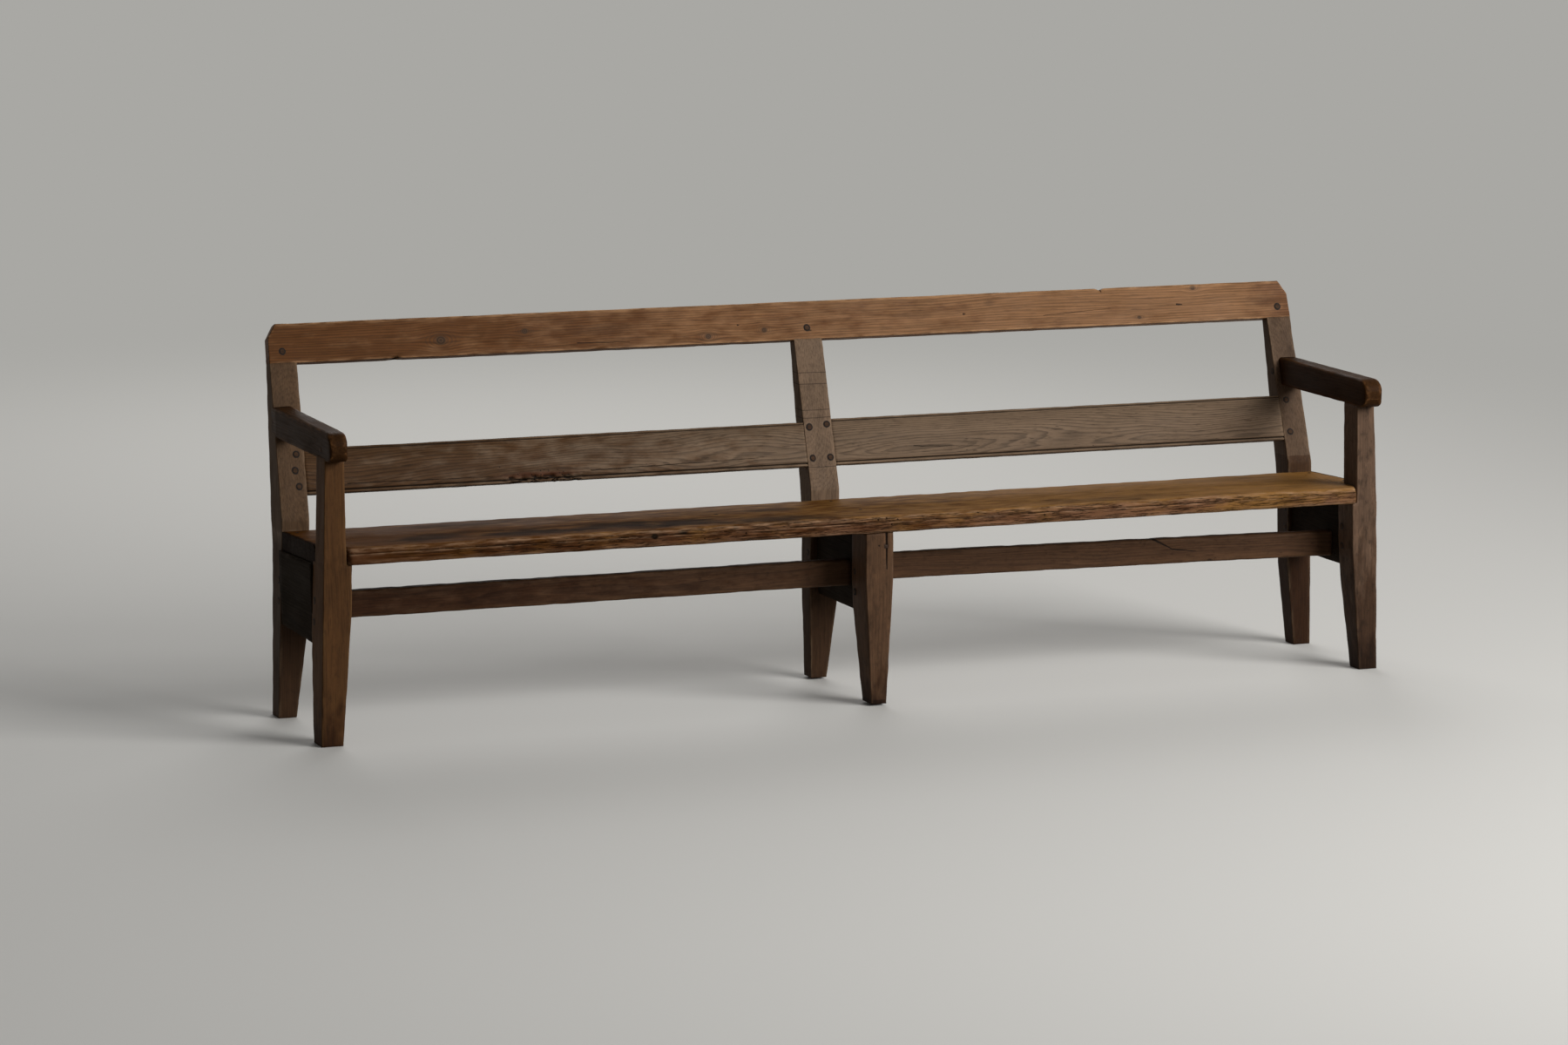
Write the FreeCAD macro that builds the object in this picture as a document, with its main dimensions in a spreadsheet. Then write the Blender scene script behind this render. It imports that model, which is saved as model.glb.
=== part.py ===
"""Monks bench: three pegged frames under one thick seat plank and a raked, boarded back.

Millimetres and degrees. +X runs along the bench to the right as seen from its front, +Y to the
back and +Z up. The origin is on the floor under the middle of the whole bench.
Each end frame (leg, cross board, post and arm) is drawn upright in its own frame and then leans
inwards by end_splay, so that the bench stands a little wider on the floor than at its top.
"""
import FreeCAD, Part
import os
import re
import math

import Sketcher
from FreeCAD import Vector

SIZES = (
    # Whole bench
    ("length_floor", 2650),           # outer face to outer face of the end frames, on the floor
    ("end_splay", 1.33),              # lean of the end frames towards the middle
    ("middle_offset", 20),            # the middle frame stands this far right of the centre
    ("middle_lift", 4),               # the worn middle feet hang this far above a flat floor
    ("frame_depth", 339),             # front of the front legs to front of the posts, at the seat
    ("frame_depth_floor", 349),       # the same on the floor
    # Fits
    ("joint_fit", 0.25),              # tenon in mortise, each side
    ("shoulder_gap", 0.3),            # shoulder to the piece that it meets
    ("peg_fit", 0.3),                 # round a peg
    ("seat_notch_gap", 0.6),          # seat round the necks of the end legs
    ("proud", 1.0),                   # pegs above the wood
    ("cut_margin", 20),               # cuts reach this far past the wood
    ("foot_stock", 5),                # left below the soles, then cut off
    ("tenon_root", 12),               # a tenon starts this deep inside its own piece
    # Back posts
    ("left_post_width", 66),
    ("middle_post_width", 73),
    ("right_post_width", 65),
    ("left_post_foot_width", 44),
    ("middle_post_foot_width", 41),
    ("right_post_foot_width", 46),
    ("middle_post_foot_shift", -10.5),
    ("left_post_depth", 90),
    ("middle_post_depth", 71),
    ("right_post_depth", 70),
    ("left_post_lower_depth", 78),
    ("middle_post_lower_depth", 63),
    ("right_post_lower_depth", 63),
    ("left_post_foot_depth", 54),
    ("middle_post_foot_depth", 46),
    ("right_post_foot_depth", 46),
    ("left_post_top_depth", 34),      # square to the rake, under the top rail
    ("middle_post_top_depth", 28),
    ("right_post_top_depth", 28),
    ("post_taper_start", 205),        # the feet narrow below this height
    ("seat_band_height", 395),        # the posts' straight stretch starts here
    ("kink_height", 460),             # and the rake starts here
    ("kink_back_drop", 12),           # the bend at the back of a post is this much lower
    ("back_rake", 18.1),
    # Front legs
    ("left_leg_width", 67),
    ("middle_leg_width", 69),
    ("right_leg_width", 66),
    ("left_leg_foot_width", 52),
    ("middle_leg_foot_width", 39),
    ("right_leg_foot_width", 49),
    ("left_leg_depth", 90),
    ("middle_leg_depth", 92),
    ("right_leg_depth", 76),
    ("left_leg_foot_depth", 66),
    ("middle_leg_foot_depth", 58),
    ("right_leg_foot_depth", 49),
    ("leg_taper_start", 300),         # sideways taper
    ("leg_back_taper_start", 215),    # taper of the back face
    ("leg_neck_width", 55),           # where an end leg passes through the seat
    ("leg_neck_depth", 70),
    ("left_leg_head_width", 45),
    ("right_leg_head_width", 47),
    ("left_leg_head_inset", 0),       # of the head from the leg's outer face
    ("right_leg_head_inset", 7),
    ("head_tenon_width", 20),
    ("head_tenon_depth", 38),
    ("head_tenon_height", 42),
    # Arms
    ("arm_top", 711),
    ("arm_height", 66),
    ("arm_width", 48),                # at the post
    ("left_arm_nose_width", 41),
    ("right_arm_nose_width", 46),
    ("left_arm_nose_inset", 0),       # of the nose from the end frame's outer face
    ("right_arm_nose_inset", 8),
    ("arm_nose", 42),                 # in front of the front leg
    ("arm_nose_radius", 33),
    ("arm_chin_radius", 24),
    ("arm_arris", 7),
    ("arm_tenon_width", 17),
    ("arm_tenon_height", 42),
    ("arm_tenon_length", 26),
    # Seat plank
    ("seat_front_under", 407),        # its underside at the front legs' front faces
    ("seat_fall", 14),                # lower at the back by this
    ("seat_thickness", 43),
    ("seat_overhang", 8),
    ("seat_nose_radius", 18),
    ("seat_chin_radius", 7),
    ("seat_arris", 2),
    # Cross boards
    ("end_board_thickness", 48),
    ("middle_board_thickness", 40),
    ("end_board_inset", 3),
    ("left_board_bottom", 222),
    ("middle_board_bottom", 208),
    ("right_board_bottom", 246),
    ("board_bevel_height", 26),
    ("board_bevel_depth", 7),
    ("board_tenon_thickness", 18),
    ("board_tenon_rise", 30),
    ("board_tenon_height", 92),
    ("board_tenon_length", 46),
    # Stretchers
    ("stretcher_setback", 128),
    ("stretcher_thickness", 30),
    ("stretcher_height", 63),
    ("left_stretcher_bottom", 264),
    ("left_stretcher_rise", 0),
    ("right_stretcher_bottom", 274),
    ("right_stretcher_rise", -15),
    ("stretcher_arris", 5),
    ("stretcher_tenon_thickness", 13),
    ("stretcher_tenon_rise", 12),
    ("stretcher_tenon_height", 39),
    ("stretcher_tenon_length", 30),
    ("stretcher_stub_length", 17),
    # Top rail
    ("rail_height", 806),             # its bottom front edge
    ("top_rail_width", 94),
    ("top_rail_thickness", 32),
    ("top_rail_corner_run", 20),
    ("top_rail_corner_drop", 34),
    ("top_rail_arris", 5),
    ("top_tenon_thickness", 12),
    ("top_tenon_length", 60),
    ("top_tenon_shoulder", 10),
    # Back rails
    ("back_rail_start", 58),          # up the rake, from the bend to their bottom edges
    ("left_back_rail_width", 107),
    ("right_back_rail_width", 112),
    ("back_rail_thickness", 22),
    ("back_rail_setback", 1.5),
    ("bead_width", 9),
    ("bead_groove_width", 3),
    ("bead_groove_depth", 1.8),
    ("foot_bead_width", 11),
    ("foot_groove_width", 5),
    ("foot_groove_depth", 3),
    ("back_tenon_thickness", 9),
    ("back_tenon_haunch", 9),
    ("back_tenon_length", 42),
    ("back_stub_length", 33),
    # Pegs and nails
    ("peg_radius", 6),
    ("post_peg_length", 44),
    ("top_peg_rise", 28),
    ("back_peg_rise", 19),            # lower peg above the rail's bottom edge
    ("back_peg_drop", 13),            # upper peg below its top edge
    ("back_peg_inset", 18),
    ("middle_peg_inset", 14),
    ("third_peg_shift", 6),           # the left post's middle peg, further from the rail than its others
    ("frame_peg_radius", 5),
    ("frame_peg_inset", 20),
    ("frame_peg_low", 22),
    ("frame_peg_high", 70),
    ("nail_width", 4),
    ("nail_head_width", 8),
    ("nail_head_height", 0.8),
    ("seat_nail_grip", 40),
    ("seat_nail_front", 118),
    ("seat_nail_back", 300),
    ("leg_nail_length", 55),
    ("leg_nail_drop", 32),
    ("leg_nail_offset", 15),
    ("nail_hole_offset", -2.5),
    ("nail_hole_width", 5),
    ("nail_hole_depth", 12),
)
NAMES = {name for name, value in SIZES}
ENDS = ("left", "right")
SIDES = ("left", "middle", "right")

doc = FreeCAD.newDocument("monks_bench")
sheet = doc.addObject("Spreadsheet::Sheet", "sizes")
for row, (name, value) in enumerate(SIZES, 1):
    sheet.set(f"A{row}", name)
    sheet.set(f"B{row}", str(value))
    sheet.setAlias(f"B{row}", name)
doc.recompute()
parts = {}


def linked(text):
    """A formula in the sheet's names, as an expression that reads them from the sheet."""
    return re.sub(r"[a-z][a-z_]*", lambda m: "sizes." + m.group() if m.group() in NAMES else m.group(), text)


def moved(x, y, z, axis="0;0;1", angle="0"):
    return f"placement(vector({x};{y};{z});rotation(vector({axis});{angle}))"


# Where things stand. The rake lies along RAKE_Y at height z above the bend.
BACK_REACH = ("(frame_depth+(rail_height-kink_height)*tan(back_rake)+top_rail_width*sin(back_rake)"
              "+top_rail_thickness*cos(back_rake))")
FRONT = f"((arm_nose-{BACK_REACH})/2)"
RAIL_Y = "(frame_depth+(rail_height-kink_height)*tan(back_rake))"
SEAT_SLOPE = "(seat_fall/frame_depth)"
FRAME = {
    "left": moved("-length_floor/2", FRONT, "0", "0;1;0", "end_splay"),
    "middle": moved("middle_offset", FRONT, "0"),
    "right": moved("length_floor/2", FRONT, "0", "0;1;0", "-end_splay"),
}
BACK = moved("0", f"{FRONT}+frame_depth", "kink_height", "1;0;0", "-back_rake")
TOP = moved("0", f"{FRONT}+{RAIL_Y}", "rail_height", "1;0;0", "-back_rake")
SEAT = moved("0", FRONT, "seat_front_under", "1;0;0", "-atan(seat_fall/frame_depth)")
BOARD = {
    "left": ("end_board_inset", "end_board_thickness"),
    "middle": ("0", "middle_board_thickness"),
    "right": ("end_board_inset", "end_board_thickness"),
}


def low_x(side, inset, width):
    """The smaller X of a width that starts inset from a frame's outer face, or is centred on it."""
    return {"left": inset, "middle": f"({inset})-({width})/2", "right": f"-({inset})-({width})"}[side]


def outer_x(side, height):
    """X of an end frame's outer face at a height."""
    return {"left": "-1", "right": "1"}[side] + f"*(length_floor/2-tan(end_splay)*({height}))"


def new_body(name, place):
    body = doc.addObject("PartDesign::Body", name)
    body.setExpression("Placement", linked(place))
    return body


def outline(body, role, corners, offset=None):
    """A closed outline of straight lines, each corner held by two sizes."""
    sketch = body.newObject("Sketcher::SketchObject", body.Name + "_outline")
    plane = [feature for feature in body.Origin.OriginFeatures if feature.Role == role][0]
    sketch.AttachmentSupport = [(plane, "")]
    sketch.MapMode = "FlatFace"
    if offset:
        sketch.setExpression(".AttachmentOffset.Base.z", linked(offset))
    count = len(corners)
    angles = [math.tau * i / count for i in range(count)]
    start = [Vector(math.cos(angle), math.sin(angle), 0) * 100 for angle in angles]
    for i in range(count):
        sketch.addGeometry(Part.LineSegment(start[i], start[(i + 1) % count]), False)
    for i in range(count):
        sketch.addConstraint(Sketcher.Constraint("Coincident", i, 2, (i + 1) % count, 1))
    for i, corner in enumerate(corners):
        for kind, value, formula in zip(("DistanceX", "DistanceY"), start[i], corner):
            number = sketch.addConstraint(Sketcher.Constraint(kind, -1, 1, i, 1, value))
            sketch.setExpression(f"Constraints[{number}]", linked(formula))
    return sketch


def side_pad(body, corners, low, width):
    """Pad a side outline, corners as (y, z), from X low over a width."""
    pad = body.newObject("PartDesign::Pad", body.Name + "_pad")
    pad.Profile = outline(body, "YZ_Plane", corners, low)
    pad.setExpression("Length", linked(width))
    return pad


def front_pad(body, corners, depth):
    """Pad a front outline, corners as (x, z), backwards from Y 0."""
    pad = body.newObject("PartDesign::Pad", body.Name + "_pad")
    pad.Profile = outline(body, "XZ_Plane", corners)
    pad.Reversed = True
    pad.setExpression("Length", linked(depth))
    return pad


def through(body, role, corners):
    """Cut an outline through the whole body, both ways."""
    pocket = body.newObject("PartDesign::Pocket", body.Name + "_waste")
    pocket.Profile = outline(body, role, corners)
    pocket.Type = "ThroughAll"
    pocket.Midplane = True
    return pocket


def rounded(body, radius, chosen):
    """Round the edges of the body that the test chooses; it is given an edge's box in the body."""
    doc.recompute()
    base = body.Tip
    names = [f"Edge{i}" for i, edge in enumerate(base.Shape.Edges, 1) if chosen(edge.BoundBox)]
    fillet = body.newObject("PartDesign::Fillet", body.Name + "_round")
    fillet.Base = (base, names)
    fillet.setExpression("Radius", linked(radius))
    return fillet


def size(name):
    return float(sheet.get(name))


def block(name, place, at, extent):
    box = doc.addObject("Part::Box", name)
    for side, formula in zip(("Length", "Width", "Height"), extent):
        box.setExpression(side, linked(formula))
    box.setExpression("Placement", linked(f"{place}*{moved(*at)}"))
    return box


def joint(name, place, at, extent):
    """A tenon and the mortise that takes it."""
    roomy_at = [f"({a})-joint_fit" for a in at]
    roomy = [f"({e})+2*joint_fit" for e in extent]
    return block(name + "_tenon", place, at, extent), block(name + "_mortise", place, roomy_at, roomy)


def driven(place, at, face):
    """Where a peg or a nail goes in: its own +Z points out of the wood."""
    turn = {"front": ("1;0;0", "90"), "side": ("0;1;0", "-90"), "top": ("0;0;1", "0")}[face]
    return f"{place}*{moved(*at, *turn)}"


def peg(name, place, at, face, radius, length):
    """A riven eight-sided peg that stands proud of the wood, and the hole that it is driven into."""
    pieces = []
    for part_name, top, round_it in ((name, "proud", "0"), (name + "_hole", "cut_margin", "peg_fit")):
        prism = doc.addObject("Part::Prism", part_name)
        prism.Polygon = 8
        prism.setExpression("Circumradius", linked(f"{radius}+{round_it}"))
        prism.setExpression("Height", linked(f"{length}+{top}+{round_it}"))
        start = moved("0", "0", f"-({length})-{round_it}")
        prism.setExpression("Placement", linked(f"{driven(place, at, face)}*{start}"))
        pieces.append(prism)
    return pieces


def square_pin(name, place, width, deep, high):
    half = f"-({width})/2"
    return block(name, place, (half, half, f"-({deep})"), (width, width, f"{deep}+{high}"))


def nail(name, place, at, face, length):
    """A forged nail, square in the shank, with a low four-sided head on the wood; and its hole."""
    where = driven(place, at, face)
    shank = square_pin(name + "_shank", where, "nail_width", length, "0")
    head = doc.addObject("Part::Wedge", name + "_head")
    for corner, half in (("Xmin", "-0.5"), ("Xmax", "0.5"), ("Zmin", "-0.5"), ("Zmax", "0.5")):
        head.setExpression(corner, linked(f"{half}*nail_head_width"))
    for corner, half in (("X2min", "-0.5"), ("X2max", "0.5"), ("Z2min", "-0.5"), ("Z2max", "0.5")):
        head.setExpression(corner, linked(f"{half}*nail_width"))
    head.Ymin = 0
    head.setExpression("Ymax", linked("nail_head_height"))
    head.setExpression("Placement", linked(f"{where}*{moved('0', '0', '0', '1;0;0', '90')}"))
    hole = square_pin(name + "_hole", where, "nail_width+2*peg_fit", f"{length}+peg_fit", "cut_margin")
    return fused(name, [shank, head]), hole


def fused(name, pieces):
    fuse = doc.addObject("Part::MultiFuse", name)
    fuse.Shapes = pieces
    fuse.Refine = True
    return fuse


def group(name, pieces):
    """Like pieces that share one node, each a solid of its own."""
    compound = doc.addObject("Part::Compound", name)
    compound.Links = pieces
    parts[name] = compound


def finished(name, solids, cuts):
    """The sub-part: its solids as one, less its mortises and holes."""
    blank = solids[0] if len(solids) == 1 else fused(name + "_blank", solids)
    if cuts:
        cut = doc.addObject("Part::Cut", name)
        cut.Base = blank
        cut.Tool = cuts[0] if len(cuts) == 1 else fused(name + "_cuts", cuts)
        cut.Refine = True
        blank = cut
    parts[name] = blank


solids = {}
cuts = {}


def add(store, node, *objects):
    store.setdefault(node, []).extend(objects)


def foot_waste(side, kind, taper_start):
    """What is cut from a square post or leg, seen from the front, to leave its tapered foot."""
    width, foot = f"{side}_{kind}_width", f"{side}_{kind}_foot_width"
    low = low_x(side, "0", width)
    shift = "middle_post_foot_shift" if kind == "post" else "0"
    foot_low = low_x(side, shift if side == "middle" else "0", foot)
    lean = f"{foot}*tan(end_splay)"
    soles = {"left": ("0", lean), "middle": ("middle_lift", "middle_lift"), "right": (lean, "0")}
    low_z, high_z = soles[side]
    return [
        (f"{low}-cut_margin", taper_start),
        (low, taper_start),
        (foot_low, low_z),
        (f"{foot_low}+{foot}", high_z),
        (f"{low}+{width}", taper_start),
        (f"{low}+{width}+cut_margin", taper_start),
        (f"{low}+{width}+cut_margin", "-cut_margin"),
        (f"{low}-cut_margin", "-cut_margin"),
    ]


def raked(inward, up):
    """(y, z) of a point of the rail's end: inward from its face and up the rake from its bottom edge."""
    return (f"{RAIL_Y}+({inward})*cos(back_rake)+({up})*sin(back_rake)",
            f"rail_height-({inward})*sin(back_rake)+({up})*cos(back_rake)")


def back_post(side):
    """One piece from floor to top rail: upright below the seat, raked and thinned above it."""
    name = f"{side}_back_post"
    width = f"{side}_post_width"
    low = low_x(side, "0", width)
    body = new_body(name + "_body", FRAME[side])
    side_pad(body, [
        ("frame_depth_floor", "-foot_stock"),
        ("frame_depth", "seat_band_height"),
        ("frame_depth", "kink_height"),
        raked("0", "0"),
        raked(f"{side}_post_top_depth", "0"),
        (f"frame_depth+{side}_post_depth", "kink_height-kink_back_drop"),
        (f"frame_depth+{side}_post_lower_depth", "seat_band_height"),
        (f"frame_depth_floor+{side}_post_foot_depth", "-foot_stock"),
    ], low, width)
    through(body, "XZ_Plane", foot_waste(side, "post", "post_taper_start"))
    add(solids, name, body)
    top_place = f"{FRAME[side]}*{moved('0', RAIL_Y, 'rail_height', '1;0;0', '-back_rake')}"
    tenon, mortise = joint(
        name + "_top", top_place,
        (f"{low}+top_tenon_shoulder", "(top_rail_thickness-top_tenon_thickness)/2", "-tenon_root"),
        (f"{width}-2*top_tenon_shoulder", "top_tenon_thickness", "top_tenon_length+tenon_root"))
    add(solids, name, tenon)
    add(cuts, "top_rail", mortise)


def front_leg(side):
    """An end leg runs up through the seat's corner to the arm; the middle one stops under the seat."""
    name = f"{side}_front_leg"
    width, depth = f"{side}_leg_width", f"{side}_leg_depth"
    low = low_x(side, "0", width)
    body = new_body(name + "_body", FRAME[side])
    right, top = f"{low}+{width}", "seat_front_under+cut_margin"
    front_pad(body, [(low, "-foot_stock"), (right, "-foot_stock"), (right, top), (low, top)], depth)
    through(body, "XZ_Plane", foot_waste(side, "leg", "leg_taper_start"))
    through(body, "YZ_Plane", [
        (depth, "leg_back_taper_start"),
        (f"{side}_leg_foot_depth", "0"),
        (f"{side}_leg_foot_depth", "-cut_margin"),
        (f"{depth}+cut_margin", "-cut_margin"),
        (f"{depth}+cut_margin", "leg_back_taper_start"),
    ])
    through(body, "YZ_Plane", [
        ("-cut_margin", f"seat_front_under-shoulder_gap+cut_margin*{SEAT_SLOPE}"),
        (f"{depth}+cut_margin", f"seat_front_under-shoulder_gap-({depth}+cut_margin)*{SEAT_SLOPE}"),
        (f"{depth}+cut_margin", "seat_front_under+2*cut_margin"),
        ("-cut_margin", "seat_front_under+2*cut_margin"),
    ])
    add(solids, name, body)
    if side == "middle":
        return
    neck = new_body(name + "_neck", FRAME[side])
    neck_low = low_x(side, "0", "leg_neck_width")
    head, inset = f"{side}_leg_head_width", f"{side}_leg_head_inset"
    head_low = low_x(side, inset, head)
    head_top = "arm_top-arm_height-shoulder_gap"
    front_pad(neck, [
        (neck_low, "seat_front_under-cut_margin"),
        (f"{neck_low}+leg_neck_width", "seat_front_under-cut_margin"),
        (f"{head_low}+{head}", head_top),
        (head_low, head_top),
    ], "leg_neck_depth")
    tenon, mortise = joint(
        name + "_head", FRAME[side],
        (low_x(side, f"{inset}+({head}-head_tenon_width)/2", "head_tenon_width"),
         "(leg_neck_depth-head_tenon_depth)/2", "arm_top-arm_height-tenon_root"),
        ("head_tenon_width", "head_tenon_depth", "head_tenon_height+tenon_root"))
    add(solids, name, neck, tenon)
    add(cuts, f"{side}_arm", mortise)


def arm(side):
    """A bar on edge, thinner towards its bullnose, tenoned into the raked face of the post."""
    name = f"{side}_arm"
    body = new_body(name + "_body", FRAME[side])
    under = "arm_top-arm_height"
    inwards = {"left": "", "right": "-1*"}[side]
    inset, inner = f"{side}_arm_nose_inset", f"({side}_arm_nose_inset+{side}_arm_nose_width)"
    pad = body.newObject("PartDesign::Pad", body.Name + "_pad")
    pad.Profile = outline(body, "XY_Plane", [
        (inwards + inset, "-arm_nose"),
        (inwards + inner, "-arm_nose"),
        (inwards + "arm_width", "1.5*frame_depth"),
        ("0", "1.5*frame_depth"),
    ], under)
    pad.setExpression("Length", linked("arm_height"))
    meets = "frame_depth+({}-kink_height)*tan(back_rake)-shoulder_gap"
    through(body, "YZ_Plane", [
        (meets.format(f"({under}-cut_margin)"), f"{under}-cut_margin"),
        ("2*frame_depth", f"{under}-cut_margin"),
        ("2*frame_depth", "arm_top+cut_margin"),
        (meets.format("(arm_top+cut_margin)"), "arm_top+cut_margin"),
    ])
    nose = -size("arm_nose")
    top, bottom = size("arm_top"), size("arm_top") - size("arm_height")
    rounded(body, "arm_nose_radius", lambda b: b.YMax < nose + 0.01 and b.ZMin > top - 0.01)
    rounded(body, "arm_chin_radius", lambda b: b.YMax < nose + 0.01 and b.ZMax < bottom + 0.01)
    rounded(body, "arm_arris", lambda b: b.YLength > size("frame_depth") / 2 and b.ZMin > top - 0.01)
    add(solids, name, body)
    tenon, mortise = joint(
        name + "_back", FRAME[side],
        (low_x(side, "(arm_width-arm_tenon_width)/2", "arm_tenon_width"),
         "frame_depth+(arm_top-arm_height/2-kink_height)*tan(back_rake)-2*tenon_root",
         f"{under}+(arm_height-arm_tenon_height)/2"),
        ("arm_tenon_width", "arm_tenon_length+2*tenon_root", "arm_tenon_height"))
    add(solids, name, tenon)
    add(cuts, f"{side}_back_post", mortise)
    leg_peg = peg(name + "_peg_leg", FRAME[side],
                  (low_x(side, "0", "arm_width"), "leg_neck_depth/2", f"{under}+head_tenon_height/2"),
                  "side", "frame_peg_radius", "arm_width+proud")
    post_peg = peg(name + "_peg_post", FRAME[side],
                   (low_x(side, "0", f"{side}_post_width"),
                    "frame_depth+(arm_top-arm_height/2-kink_height)*tan(back_rake)+arm_tenon_length/2",
                    f"{under}+arm_height/2"),
                   "side", "frame_peg_radius", f"{side}_post_width+proud")
    group(name + "_pegs", [leg_peg[0], post_peg[0]])
    add(cuts, name, leg_peg[1], post_peg[1])
    add(cuts, f"{side}_front_leg", leg_peg[1])
    add(cuts, f"{side}_back_post", post_peg[1])


def cross_board(side):
    """The deep board on edge that ties a leg to its post and carries the seat."""
    name = f"{side}_cross_board"
    inset, thickness = BOARD[side]
    low = low_x(side, inset, thickness)
    bottom = f"{side}_board_bottom"
    depth = f"{side}_leg_depth"
    body = new_body(name + "_body", FRAME[side])
    lean = "(frame_depth_floor-frame_depth)/seat_band_height"
    side_pad(body, [
        (f"{depth}+shoulder_gap", bottom),
        (f"frame_depth+(seat_band_height-{bottom})*{lean}-shoulder_gap", bottom),
        ("frame_depth-shoulder_gap", f"seat_front_under-shoulder_gap-frame_depth*{SEAT_SLOPE}"),
        (f"{depth}+shoulder_gap", f"seat_front_under-shoulder_gap-{depth}*{SEAT_SLOPE}"),
    ], low, thickness)
    bevels = {"left": (1,), "middle": (-1, 1), "right": (-1,)}[side]
    for way in bevels:
        edge = f"{low}+{thickness}" if way > 0 else low
        through(body, "XZ_Plane", [
            (f"{edge}-({way})*board_bevel_depth", bottom),
            (f"{edge}+({way})*board_bevel_depth", bottom),
            (f"{edge}+({way})*board_bevel_depth", f"{bottom}+2*board_bevel_height"),
        ])
    add(solids, name, body)
    tenon_low = low_x(side, f"{inset}+({thickness}-board_tenon_thickness)/2" if side != "middle" else "0",
                      "board_tenon_thickness")
    rise = f"{bottom}+board_tenon_rise"
    tenon_size = ("board_tenon_thickness", "board_tenon_length+tenon_root", "board_tenon_height")
    for end, target, y in (("front", f"{side}_front_leg", f"{depth}-board_tenon_length"),
                           ("back", f"{side}_back_post", "frame_depth-tenon_root")):
        tenon, mortise = joint(f"{name}_{end}", FRAME[side], (tenon_low, y, rise), tenon_size)
        add(solids, name, tenon)
        add(cuts, target, mortise)
    pegs = []
    for end, target, kind, y in (("front", f"{side}_front_leg", "leg", f"{depth}-frame_peg_inset"),
                                 ("back", f"{side}_back_post", "post", "frame_depth+frame_peg_inset")):
        width = f"{side}_{kind}_width"
        for level in ("frame_peg_low", "frame_peg_high"):
            piece, hole = peg(f"{name}_{end}_{level}", FRAME[side],
                              (low_x(side, "0", width), y, f"{rise}+{level}"),
                              "side", "frame_peg_radius", f"{width}+proud")
            pegs.append(piece)
            add(cuts, name, hole)
            add(cuts, target, hole)
    group(f"{side}_frame_pegs", pegs)


def seat_plank():
    """One thick plank, dished by wear at its nose, notched round the necks of the end legs."""
    name = "seat_plank"
    body = new_body(name + "_body", SEAT)
    half = "(length_floor/2-tan(end_splay)*(seat_front_under+seat_thickness/2))"
    back = "frame_depth-shoulder_gap"
    side_pad(body, [
        ("-seat_overhang", "0"),
        (back, "0"),
        (f"{back}-seat_thickness*{SEAT_SLOPE}", "seat_thickness"),
        ("-seat_overhang", "seat_thickness"),
    ], "-" + half, "2*" + half)
    front, thickness = -size("seat_overhang"), size("seat_thickness")
    rounded(body, "seat_nose_radius", lambda b: b.YMax < front + 0.01 and b.ZMin > thickness - 0.01)
    rounded(body, "seat_chin_radius", lambda b: b.YMax < front + 0.01 and b.ZMax < 0.01)
    rounded(body, "seat_arris", lambda b: b.XLength < 0.01 and b.ZMin > thickness - 0.01)
    add(solids, name, body)
    for side in ENDS:
        add(cuts, name, block(
            f"seat_notch_{side}", FRAME[side],
            (low_x(side, "-cut_margin", "leg_neck_width+cut_margin+seat_notch_gap"),
             "-seat_overhang-cut_margin", "seat_front_under-2*cut_margin"),
            ("leg_neck_width+cut_margin+seat_notch_gap",
             "seat_overhang+cut_margin+leg_neck_depth+seat_notch_gap", "seat_thickness+4*cut_margin")))
    nails = []
    for side in SIDES:
        inset, thickness_name = BOARD[side]
        if side == "middle":
            x = "middle_offset"
        else:
            sign = {"left": "+", "right": "-"}[side]
            x = f"{outer_x(side, 'seat_front_under')}{sign}({inset}+{thickness_name}/2)"
        for place in ("front", "back"):
            piece, hole = nail(f"seat_nail_{side}_{place}", SEAT, (x, f"seat_nail_{place}", "seat_thickness"),
                               "top", "(seat_thickness+seat_nail_grip)")
            nails.append(piece)
            add(cuts, name, hole)
            add(cuts, f"{side}_cross_board", hole)
    group("seat_nails", nails)


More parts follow.
